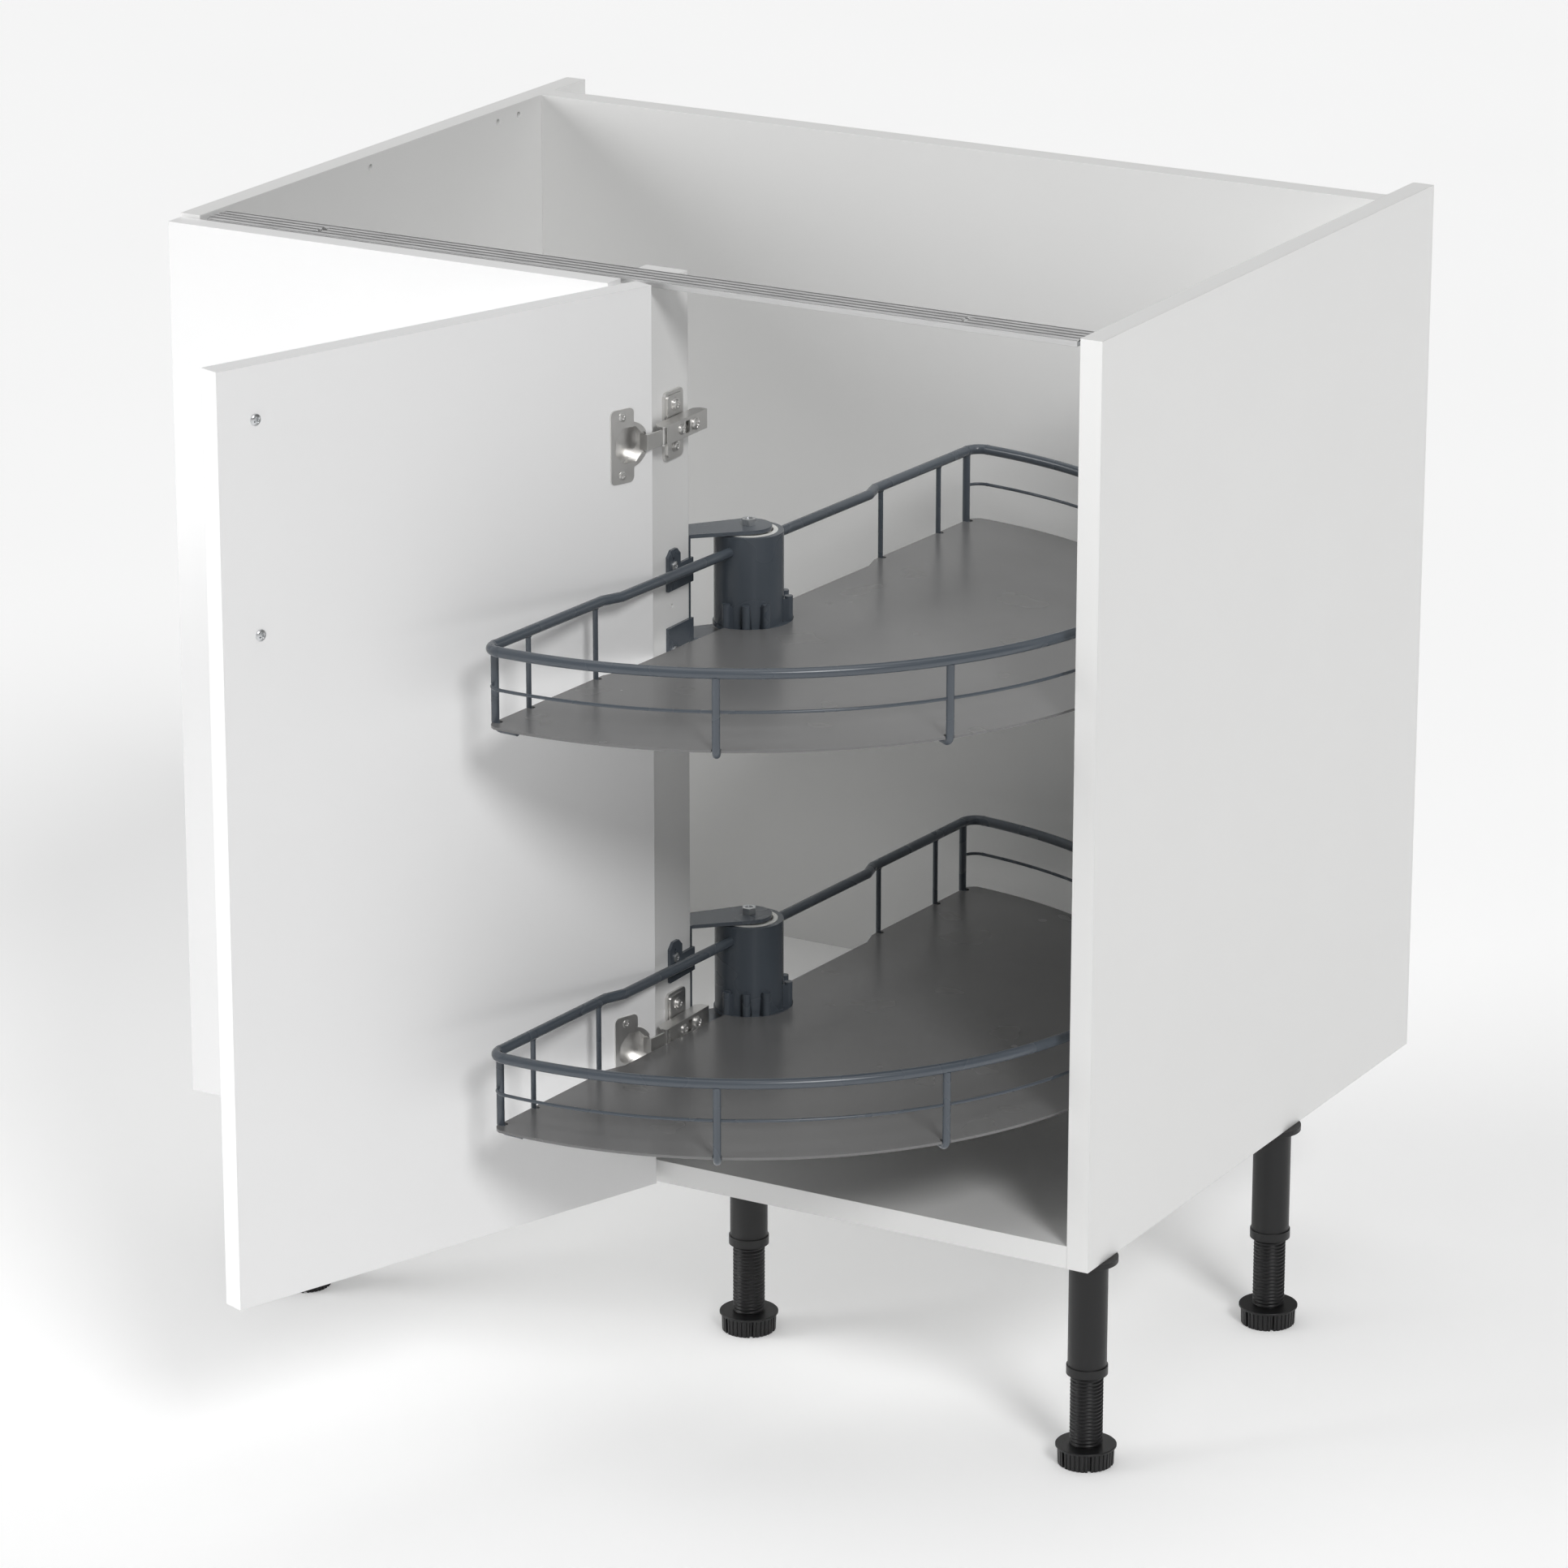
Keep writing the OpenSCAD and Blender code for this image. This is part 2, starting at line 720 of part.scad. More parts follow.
module upper_carousel_bracket() { color(slate) carousel_bracket(shelf_zs[1]); }
module lower_carousel_bracket() { color(slate) carousel_bracket(shelf_zs[0]); }

module bracket_screws() {
  color(steel)
    for (z = shelf_zs, dz = ear_screws(z))
      translate([post_r + bracket_t - 0.5, bracket_ear_y, z + dz]) rotate([0, 90, 0])
        pan_screw(screw_d, 12 + bracket_t - 0.5, 7, 2);
}

// Fixed round bar between the two arms of a bracket
module spindle(z) {
  difference() {
    translate([hub[0], hub[1], z + arm_down])
      cylinder(d = spindle_d, h = spindle_top - arm_down);
    for (h = [arm_down - eps, spindle_top - 12])
      translate([hub[0], hub[1], z + h]) cylinder(d = bolt_d, h = 12 + eps);
  }
}

module spindles() { color(steel) for (z = shelf_zs) spindle(z); }

// Hex bolt along -Z with its head's seat at z = 0
module hex_bolt(l) {
  translate([0, 0, -l]) cylinder(d = bolt_d, h = l + eps);
  difference() {
    cylinder(d = bolt_af / cos(30), h = bolt_head_h, $fn = 6);
    translate([0, 0, bolt_head_h - 0.8]) cylinder(d = bolt_af * 0.62, h = 1);
  }
}

module spindle_bolts() {
  color(steel)
    for (z = shelf_zs) {
      translate([hub[0], hub[1], z + arm_up + bracket_t]) hex_bolt(bracket_t + 10);
      translate([hub[0], hub[1], z + arm_down - bracket_t]) rotate([180, 0, 0])
        hex_bolt(bracket_t + 10);
    }
}

// ---------- Hinges ----------

// Mounting plate on the post, with two oval slots and a ridge for the arm
module hinge_plate(z) {
  difference() {
    translate([post_r, plate_y, z]) rotate([90, 0, 90]) union() {
      linear_extrude(plate_t) rounded(plate_w, plate_h, 4);
      translate([0, 0, plate_t]) linear_extrude(1.2) rounded(plate_w - 5, plate_h - 5, 3);
      linear_extrude(arm_out - arm_t - 3) square([24, arm_h - 2 * arm_t - 1], center = true);
    }
    for (s = [-1, 1])
      translate([post_r - 1, plate_y, z + s * plate_screw_c / 2]) rotate([90, 0, 90])
        linear_extrude(plate_t + 4) {
          for (k = [-1, 1]) translate([0, k * 1.6]) circle(d = screw_d + 0.6);
          square([screw_d + 0.6, 3.2], center = true);
        }
    // Seats of the two screws that hold the arm
    for (y = arm_screw_ys)
      translate([post_r + 2, y, z]) rotate([0, 90, 0]) cylinder(d = screw_d, h = arm_out);
  }
}

arm_screw_ys = [27.5, 47];

module hinge_plates() { color(steel) for (z = hinge_zs) hinge_plate(z); }

module hinge_plate_screws() {
  color(steel)
    for (z = hinge_zs, s = [-1, 1])
      translate([post_r + plate_t + 1.2, plate_y, z + s * plate_screw_c / 2]) rotate([0, 90, 0]) {
        cylinder(d = 10, h = 0.8);
        translate([0, 0, 0.8]) pan_screw(screw_d, 12 + plate_t + 2, 7.5, 2.2);
      }
}

// Channel-shaped arm; its two flanges carry the link's pin in front of the web
module hinge_arm(z) {
  web_y = link_pin[1] + link_barrel_r + 0.8;
  flange_in = post_r + plate_t + 2;
  difference() {
    union() {
      translate([arm_face - arm_t, web_y, z - arm_h / 2]) cube([arm_t, arm_rear - web_y, arm_h]);
      for (s = [-1, 1])
        translate([0, 0, z + s * (arm_h / 2 - arm_t / 2) - arm_t / 2])
          linear_extrude(arm_t)
            polygon([[arm_face, link_pin[1] - 1], [arm_face - 1, link_pin[1] - 2.3],
                     [arm_face - 5, link_pin[1] - 2.3], [flange_in, web_y],
                     [flange_in, arm_rear - 4], [flange_in + 4, arm_rear], [arm_face, arm_rear]]);
    }
    translate([link_pin[0], link_pin[1], z - arm_h]) cylinder(r = link_pin_r, h = 2 * arm_h);
    translate([arm_face - 2 * arm_t, arm_window_y, z - arm_window_h / 2])
      cube([3 * arm_t, 6, arm_window_h]);
    // Slot and hole of the two screws in the arm's face
    translate([arm_face - 2 * arm_t, arm_screw_ys[0], z]) rotate([0, 90, 0])
      cylinder(d = screw_d + 0.4, h = 3 * arm_t);
    translate([arm_face - 2 * arm_t, arm_screw_ys[1], z]) rotate([90, 0, 90])
      linear_extrude(3 * arm_t) {
        for (k = [0, 4]) translate([k, 0]) circle(d = screw_d + 0.4);
        translate([2, 0]) square([4, screw_d + 0.4], center = true);
      }
  }
}

module hinge_arms() { color(steel) for (z = hinge_zs) hinge_arm(z); }

module hinge_arm_screws() {
  color(steel)
    for (z = hinge_zs) {
      translate([arm_face, arm_screw_ys[0], z]) rotate([0, 90, 0])
        pan_screw(screw_d, arm_out - 3, 8, 2.2);
      translate([arm_face, arm_screw_ys[1], z]) rotate([0, 90, 0])
        pan_screw(screw_d, arm_out - 3, 9.4, 3);
    }
}

module hinge_link_pins() {
  color(steel)
    for (z = hinge_zs)
      translate([link_pin[0], link_pin[1], z - arm_h / 2])
        cylinder(r = link_pin_r, h = arm_h);
}

// Corner i of the line p, moved sideways by d, with mitred bends
function side_of(p, i, d) =
  let (a = i == 0 ? p[1] - p[0] : p[i] - p[i - 1],
       b = i == len(p) - 1 ? a : p[i + 1] - p[i],
       na = [-a[1], a[0]] / norm(a), nb = [-b[1], b[0]] / norm(b),
       m = (na + nb) / norm(na + nb))
  p[i] + d / (m * na) * m;

// Bent link from the arm's nose into the cup
module hinge_link(z) {
  link_h = arm_h - 2 * arm_t - 0.6;
  p = concat([[0, 0]], link_path);
  translate([link_pin[0], link_pin[1], z - link_h / 2]) difference() {
    union() {
      cylinder(r = link_barrel_r, h = link_h);
      linear_extrude(link_h)
        polygon(concat([for (i = [0:3]) side_of(p, i, link_t / 2)],
                       [for (i = [3:-1:0]) side_of(p, i, -link_t / 2)]));
    }
    translate([0, 0, -1]) cylinder(r = link_pin_r + 0.05, h = link_h + 2);
  }
}

module upper_hinge_link() { color(steel) hinge_link(hinge_zs[1]); }
module lower_hinge_link() { color(steel) hinge_link(hinge_zs[0]); }

// Cup with its mounting flange, drawn for the closed door
module hinge_cup(z) {
  r = cup_d / 2;
  mouth = r - cup_wall;
  on_door() difference() {
    union() {
      translate([cup_x, front_in, z]) rotate([90, 0, 0]) cylinder(r = r, h = cup_deep);
      translate([cup_x, front_in, z]) rotate([-90, 0, 0]) cylinder(r = r + 0.2, h = cup_plate_t);
      translate([cup_screw_x, front_in + cup_plate_t, z]) rotate([90, 0, 0])
        linear_extrude(cup_plate_t) rounded(22, cup_screw_c + 12, 4);
    }
    // Round cavity with its eight-sided mouth, open towards the hinge side
    translate([cup_x, front_in, z]) rotate([90, 0, 0])
      cylinder(r = mouth, h = cup_deep - cup_wall);
    translate([cup_x, front_in + cup_plate_t + 1, z]) rotate([90, 22.5, 0])
      cylinder(r = mouth * 0.88, h = cup_plate_t + 2, $fn = 8);
    translate([cup_x - r - 1, front_in - cup_plate_t, z - arm_h / 2 - 0.5])
      cube([r + 1, 3 * cup_plate_t, arm_h + 1]);
    for (s = [-1, 1])
      translate([cup_screw_x, front_in + cup_plate_t, z + s * cup_screw_c / 2])
        rotate([-90, 0, 0]) flat_screw_hole(3, cup_plate_t + 1, 2 * 3);
  }
}

module upper_hinge_cup() { color(steel) hinge_cup(hinge_zs[1]); }
module lower_hinge_cup() { color(steel) hinge_cup(hinge_zs[0]); }

module hinge_cup_screws() {
  color(steel) on_door()
    for (z = hinge_zs, s = [-1, 1])
      translate([cup_screw_x, front_in + cup_plate_t, z + s * cup_screw_c / 2])
        rotate([-90, 0, 0]) flat_screw(3, cup_screw_l, 2 * 3);
}

// ---------- Door ----------

handle_x = door_r - handle_in;
handle_zs = [front_z1 - handle_top - handle_c, front_z1 - handle_top];

module door_panel() {
  color(white) on_door() difference() {
    translate([door_l, front_out, front_z0]) cube([door_w, front_t, front_z1 - front_z0]);
    for (z = hinge_zs) {
      translate([cup_x, front_in + eps, z]) rotate([90, 0, 0]) cylinder(d = cup_d, h = cup_deep + eps);
      for (s = [-1, 1])
        translate([cup_screw_x, front_in + cup_plate_t, z + s * cup_screw_c / 2])
          rotate([-90, 0, 0]) flat_screw_hole(3, cup_screw_l, 2 * 3);
    }
    for (z = handle_zs)
      translate([handle_x, front_in + eps, z]) rotate([90, 0, 0])
        cylinder(d = screw_d, h = front_t + 2 * eps);
  }
}

// Bow handle: two feet, two bends and the bar between them
module door_handle() {
  bar_y = front_out - handle_out + handle_bar / 2;
  color(steel) on_door() difference() {
    union() {
      for (k = [0, 1]) {
        s = k == 0 ? 1 : -1;
        translate([handle_x, front_out, handle_zs[k]]) {
          rotate([90, 0, 0]) cylinder(d = handle_bar, h = front_out - bar_y - handle_bend);
          rotate([90, 0, 0]) cylinder(d = handle_bar + 3, h = 1.5);
        }
        translate([handle_x, bar_y + handle_bend, handle_zs[k] + s * handle_bend])
          rotate([0, -90, 0])
            bend(handle_bend, handle_bar, k == 0 ? 180 : -90, k == 0 ? 270 : 0);
      }
      translate([handle_x, bar_y, handle_zs[0] + handle_bend])
        cylinder(d = handle_bar, h = handle_c - 2 * handle_bend);
    }
    for (z = handle_zs)
      translate([handle_x, front_out + 1, z]) rotate([90, 0, 0]) cylinder(d = screw_d, h = 8 + 1);
  }
}

module handle_screws() {
  color(steel) on_door()
    for (z = handle_zs)
      translate([handle_x, front_in, z]) rotate([-90, 0, 0])
        pan_screw(screw_d, front_t + 7, 8.5, 2.5);
}

// ---------- Carousel shelves ----------

arc_post_as = [for (i = [-2:2]) i * arc_post_a];

// Straight side of the sheet, in line with the rail above it
module straight_side() {
  in = step_out - step_len;
  polygon([[corner_u + 1, -corner_s], [-rim_step, -corner_s], [-rim_step, -step_out],
           [0, -in], [0, in], [-rim_step, step_out], [-rim_step, corner_s],
           [corner_u + 1, corner_s]]);
}

// Slot in the sheet's edge for a post and the start of its hook, drawn towards +X
module post_notch(d) {
  for (k = [0, hook_lead])
    translate([k, 0, -2 * shelf_t]) cylinder(r = d / 2 + notch_gap, h = 3 * shelf_t);
}

// Sheet drawn at z = 0 downwards, bulge towards +X
module shelf_sheet() {
  difference() {
    intersection() {
      translate([0, 0, -shelf_t]) cylinder(r = shelf_r, h = shelf_t);
      union() {
        translate([corner_u, -shelf_r - 1, -shelf_t])
          cube([shelf_r, 2 * shelf_r + 2, shelf_t]);
        translate([0, 0, -shelf_t]) linear_extrude(shelf_t) straight_side();
        for (s = [-1, 1]) intersection() {
          translate([corner_u, s * corner_s, -shelf_t])
            cylinder(r = rim_corner + 1, h = shelf_t);
          translate([-rim_step, s * corner_s - shelf_r, -shelf_t])
            cube([shelf_r, 2 * shelf_r, shelf_t]);
        }
      }
    }
    translate([0, 0, -2 * shelf_t]) cylinder(r = hub_hole_r, h = 3 * shelf_t);
    for (a = arc_post_as)
      rotate([0, 0, a]) translate([shelf_r, 0, 0]) rotate([0, 0, 180]) post_notch(arc_post_d);
    for (s = [-1, 1]) {
      translate([-rim_step, s * corner_s, 0]) post_notch(arc_post_d);
      for (t = [thin_near, thin_far])
        translate([-rim_step, s * t, 0]) post_notch(thin_post_d);
    }
    for (a = flange_screw_as)
      rotate([0, 0, a]) translate([flange_screw_r, 0, -2 * shelf_t])
        cylinder(d = screw_d, h = 2 * shelf_t - screw_skin);
  }
}

// Weld bead round the joint of two wires that meet end to end along Y
module bead(d) {
  rotate([90, 0, 0]) cylinder(d = d + bead_over, h = bead_l, center = true);
}

// Curved rail with both rounded corners, at height h
module rim_curve(d, h) {
  translate([0, 0, h]) {
    bend(shelf_r, d, -corner_a, corner_a);
    for (s = [-1, 1]) {
      translate([corner_u, s * corner_s, 0])
        bend(rim_corner, d, s > 0 ? corner_a : -180, s > 0 ? 180 : -corner_a);
      rotate([0, 0, s * corner_a]) translate([shelf_r, 0, 0]) bead(d);
      translate([-rim_step, s * corner_s, 0]) bead(d);
    }
  }
}

// Straight side of the rail: inner stretch, step and outer stretch
module rim_straight(s) {
  p = [[0, s * (hub_r - 0.5), rim_h], [0, s * (step_out - step_len), rim_h],
       [-rim_step, s * step_out, rim_h], [-rim_step, s * corner_s, rim_h]];
  for (i = [0:2]) bar(p[i], p[i + 1], rim_d);
  for (i = [1, 2]) translate(p[i]) sphere(d = rim_d);
}

// Post at the origin with a hook towards -X under the sheet
module hooked_post(d, run) {
  zh = -shelf_t - d / 2;
  r = d;
  translate([0, 0, zh + r]) cylinder(d = d, h = rim_h - zh - r);
  translate([-r, 0, zh + r]) rotate([90, 0, 0]) rotate([0, 0, -90])
    rotate_extrude(angle = 90) translate([r, 0]) circle(d = d);
  translate([-r, 0, zh]) rotate([0, -90, 0]) cylinder(d = d, h = run - r);
}

// The rail that runs all round, welded to the hub tube
module shelf_rail() {
  difference() {
    union() {
      rim_curve(rim_d, rim_h);
      for (s = [-1, 1]) rim_straight(s);
    }
    cylinder(r = hub_r, h = 2 * rim_h);
  }
}

// All posts with their hooks, longer by their radius where the rail lies
module whole_posts() {
  for (s = [-1, 1]) {
    translate([-rim_step, s * corner_s, 0]) rotate([0, 0, 180])
      hooked_post(arc_post_d, hook_len + rim_step);
    for (t = [thin_near, thin_far])
      translate([-rim_step, s * t, 0]) rotate([0, 0, 180])
        hooked_post(thin_post_d, hook_len + rim_step);
  }
  for (a = arc_post_as)
    rotate([0, 0, a]) translate([shelf_r, 0, 0]) hooked_post(arc_post_d, hook_len);
}

// The posts end on the rail that they are welded to
module shelf_posts() {
  difference() {
    whole_posts();
    shelf_rail();
  }
}

// The wire half way up, one length from post to post, with square ends
module shelf_wire() {
  near = asin(arc_post_d / 2 / shelf_r);
  near_corner = 2 * asin(arc_post_d / 4 / rim_corner);
  last = arc_post_as[4];
  translate([0, 0, mid_wire_h]) {
    for (i = [0:3])
      bend(shelf_r, mid_wire_d, arc_post_as[i] + near, arc_post_as[i + 1] - near);
    for (s = [-1, 1]) {
      bend(shelf_r, mid_wire_d, s > 0 ? last + near : -corner_a,
           s > 0 ? corner_a : -last - near);
      translate([corner_u, s * corner_s, 0])
        bend(rim_corner, mid_wire_d, s > 0 ? corner_a : near_corner - 180,
             s > 0 ? 180 - near_corner : -corner_a);
      rotate([0, 0, s * corner_a]) translate([shelf_r, 0, 0]) bead(mid_wire_d);
    }
  }
}

// Hub tube with its ring of prongs
module shelf_hub() {
  difference() {
    union() {
      translate([0, 0, -shelf_t]) cylinder(r = hub_r, h = hub_h + shelf_t);
      for (a = [-90:30:90])
        if (a != 0)
          rotate([0, 0, a]) {
            translate([prong_at, 0, -shelf_t]) cylinder(d = prong_d, h = prong_h + shelf_t);
            translate([hub_r - hub_wall / 2, -prong_d / 2, -shelf_t])
              cube([prong_at - hub_r + hub_wall / 2, prong_d, prong_h + shelf_t - 2]);
          }
    }
    translate([0, 0, -2 * shelf_t]) cylinder(r = hub_r - hub_wall, h = hub_h + 3 * shelf_t);
  }
}

// Plate under the sheet, which the tube stands on. Behind the straight side it
// is narrower, so that it passes the post.
module hub_flange() {
  difference() {
    translate([0, 0, -shelf_t - flange_t]) {
      cylinder(r = flange_back_r, h = flange_t);
      intersection() {
        cylinder(d = flange_d, h = flange_t);
        translate([0, -flange_d, -1]) cube([flange_d, 2 * flange_d, flange_t + 2]);
      }
    }
    translate([0, 0, -shelf_t - 2 * flange_t])
      cylinder(r = hub_r - hub_wall, h = 3 * flange_t);
    for (a = flange_screw_as)
      rotate([0, 0, a]) translate([flange_screw_r, 0, -shelf_t - 2 * flange_t])
        cylinder(d = screw_d, h = 3 * flange_t);
  }
}

// Two plastic bushes in the tube, running on the spindle
module hub_bushes() {
  r = hub_r - hub_wall;
  lip = 3.5;
  difference() {
    union() {
      translate([0, 0, hub_h - 12]) cylinder(r = r, h = 12.4);
      translate([0, 0, -shelf_t - flange_t]) cylinder(r = r, h = 14);
      // Thrust collar that runs on the lower arm
      translate([0, 0, -bracket_under + 0.2])
        cylinder(d = spindle_d + 8, h = bracket_under);
    }
    translate([0, 0, -2 * bracket_under]) cylinder(r = bush_in, h = 2 * hub_h);
    // Ring-shaped recess that leaves the visible lip
    translate([0, 0, hub_h - 4]) difference() {
      cylinder(r = r - lip, h = 10);
      translate([0, 0, -1]) cylinder(r = bush_in + 3, h = 4);
    }
  }
}

// Screws from below, which end inside the sheet
module hub_screws() {
  for (a = flange_screw_as)
    rotate([0, 0, a]) translate([flange_screw_r, 0, -shelf_t - flange_t]) rotate([180, 0, 0])
      pan_screw(screw_d, shelf_t + flange_t - screw_skin, 7.5, 1.8);
}

module upper_shelf_sheet() { color(shelf_grey) on_shelf(shelf_zs[1]) shelf_sheet(); }
module upper_shelf_rail() { color(slate) on_shelf(shelf_zs[1]) shelf_rail(); }
module upper_shelf_posts() { color(slate) on_shelf(shelf_zs[1]) shelf_posts(); }
module upper_shelf_wire() { color(slate) on_shelf(shelf_zs[1]) shelf_wire(); }
module upper_shelf_hub() { color(slate) on_shelf(shelf_zs[1]) shelf_hub(); }
module upper_hub_flange() { color(slate) on_shelf(shelf_zs[1]) hub_flange(); }
module upper_hub_bushes() { color(bush_white) on_shelf(shelf_zs[1]) hub_bushes(); }
module upper_hub_screws() { color(slate) on_shelf(shelf_zs[1]) hub_screws(); }
module lower_shelf_sheet() { color(shelf_grey) on_shelf(shelf_zs[0]) shelf_sheet(); }
module lower_shelf_rail() { color(slate) on_shelf(shelf_zs[0]) shelf_rail(); }
module lower_shelf_posts() { color(slate) on_shelf(shelf_zs[0]) shelf_posts(); }
module lower_shelf_wire() { color(slate) on_shelf(shelf_zs[0]) shelf_wire(); }
module lower_shelf_hub() { color(slate) on_shelf(shelf_zs[0]) shelf_hub(); }
module lower_hub_flange() { color(slate) on_shelf(shelf_zs[0]) hub_flange(); }
module lower_hub_bushes() { color(bush_white) on_shelf(shelf_zs[0]) hub_bushes(); }
module lower_hub_screws() { color(slate) on_shelf(shelf_zs[0]) hub_screws(); }

// ---------- Legs ----------

// Flange and tube of one leg, bored from below for the foot's stem
module leg(p) {
  bore_h = foot_stem_top + foot_bore_spare - (leg_h - leg_tube_l);
  translate([p[0], p[1], 0]) difference() {
    union() {
      translate([0, 0, leg_h - leg_flange_t]) cylinder(d = leg_flange_d, h = leg_flange_t);
      translate([0, 0, leg_h - leg_tube_l]) cylinder(d = leg_tube_d, h = leg_tube_l - 1);
      translate([0, 0, leg_h - leg_tube_l]) cylinder(d = leg_tube_d + 2, h = 7);
      translate([0, 0, leg_h - leg_flange_t - 3])
        cylinder(d1 = leg_tube_d, d2 = leg_tube_d + 6, h = 3 + eps);
    }
    translate([0, 0, leg_h - leg_tube_l - eps])
      cylinder(r = foot_thread_d / 2 + foot_clear, h = bore_h);
    for (a = leg_screw_as)
      rotate([0, 0, p[2] + a]) translate([leg_screw_r, 0, leg_h - leg_flange_t]) {
        translate([0, 0, -1]) cylinder(d = 3.2, h = leg_flange_t + 2);
        // Room for the head beside the tube
        translate([0, 0, -5]) cylinder(d = leg_screw_head + 0.6, h = 5);
      }
  }
}

module leg_screw_holes() {
  for (p = leg_places)
    translate([p[0], p[1], z0])
      for (a = leg_screw_as)
        rotate([0, 0, p[2] + a]) translate([leg_screw_r, 0, -eps])
          cylinder(d = 3, h = leg_screw_l - leg_flange_t + eps);
}

module leg_front_left() { color(black) leg(leg_places[0]); }
module leg_front_right() { color(black) leg(leg_places[1]); }
module leg_rear_left() { color(black) leg(leg_places[2]); }
module leg_rear_right() { color(black) leg(leg_places[3]); }
module leg_middle() { color(black) leg(leg_places[4]); }

module leg_screws() {
  color(steel)
    for (p = leg_places)
      translate([p[0], p[1], z0 - leg_flange_t])
        for (a = leg_screw_as)
          rotate([0, 0, p[2] + a]) translate([leg_screw_r, 0, 0]) rotate([180, 0, 0])
            pan_screw(3, leg_screw_l, leg_screw_head, 1.6);
}

// Outline of the ridged stem, from the axis outwards and back
foot_stem_low = foot_skirt_h + 2;
foot_ridges = floor((foot_stem_top - foot_stem_low - 8) / foot_pitch);
stem_profile = concat(
  [[0, foot_stem_low - 1], [foot_thread_d / 2 - 1, foot_stem_low - 1]],
  [for (i = [0:foot_ridges - 1])
    for (k = [[0.2, -1], [0.4, 0], [0.6, 0], [0.8, -1]])
      [foot_thread_d / 2 + 0.9 * k[1], foot_stem_low + (i + k[0]) * foot_pitch]],
  [[foot_thread_d / 2 - 1, foot_stem_top - 2], [foot_thread_d / 2 - 3, foot_stem_top],
   [0, foot_stem_top]]);

// Screw foot: ridged stem, disc, and a skirt with grip ribs between deep slots
module foot(p) {
  skirt_r = foot_disc_d / 2 - 2;
  translate([p[0], p[1], 0]) difference() {
    union() {
      rotate_extrude() polygon(stem_profile);
      translate([0, 0, foot_skirt_h]) cylinder(d = foot_disc_d, h = 2);
      cylinder(r1 = skirt_r, r2 = skirt_r + 0.5, h = foot_skirt_h + eps);
    }
    for (i = [0:foot_ribs - 1]) {
      w = i % foot_slot_every == 0 ? 3 : 1.5;
      d = i % foot_slot_every == 0 ? 2.6 : 0.8;
      rotate([0, 0, i * 360 / foot_ribs]) translate([skirt_r - d, -w / 2, -1])
        cube([d + 1, w, foot_skirt_h + 1]);
    }
    translate([0, 0, -eps]) cylinder(d = foot_disc_d - 14, h = 4);
  }
}

module foot_front_left() { color(black) foot(leg_places[0]); }
module foot_front_right() { color(black) foot(leg_places[1]); }
module foot_rear_left() { color(black) foot(leg_places[2]); }
module foot_rear_right() { color(black) foot(leg_places[3]); }
module foot_middle() { color(black) foot(leg_places[4]); }

left_side_panel();
right_side_panel();
bottom_panel();
back_panel();
upper_back_rail();
lower_back_rail();
front_rail();
rail_end_blocks();
post_blind_board();
post_hinge_board();
post_screws();
carcass_dowels();
blind_front();
blind_front_brackets();
blind_front_screws();
upper_carousel_bracket();
lower_carousel_bracket();
bracket_screws();
spindles();
spindle_bolts();
hinge_plates();
hinge_plate_screws();
hinge_arms();
hinge_arm_screws();
hinge_link_pins();
leg_front_left();
leg_front_right();
leg_rear_left();
leg_rear_right();
leg_middle();
leg_screws();
foot_front_left();
foot_front_right();
foot_rear_left();
foot_rear_right();
foot_middle();
door_panel();
door_handle();
handle_screws();
upper_hinge_cup();
lower_hinge_cup();
hinge_cup_screws();
upper_hinge_link();
lower_hinge_link();
upper_shelf_sheet();
upper_shelf_rail();
upper_shelf_posts();
upper_shelf_wire();
upper_shelf_hub();
upper_hub_flange();
upper_hub_bushes();
upper_hub_screws();
lower_shelf_sheet();
lower_shelf_rail();
lower_shelf_posts();
lower_shelf_wire();
lower_shelf_hub();
lower_hub_flange();
lower_hub_bushes();
lower_hub_screws();
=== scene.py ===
# %% [markdown]
# # Dressing a corner carousel cabinet
#
# The exact parts of this cabinet come from a CAD model: the boards, the hinges, the
# half-moon shelves with their wire rail, and the screw feet. This lesson gives them
# real finishes, and makes anew the pieces whose fine form the CAD model leaves out:
# the turned thread of the feet, the cross-slotted screws and the weld collars under
# the rail. Everything is in metres, +Z is up, and the origin is on the floor below
# the front edges of the side panels.

import json
import math

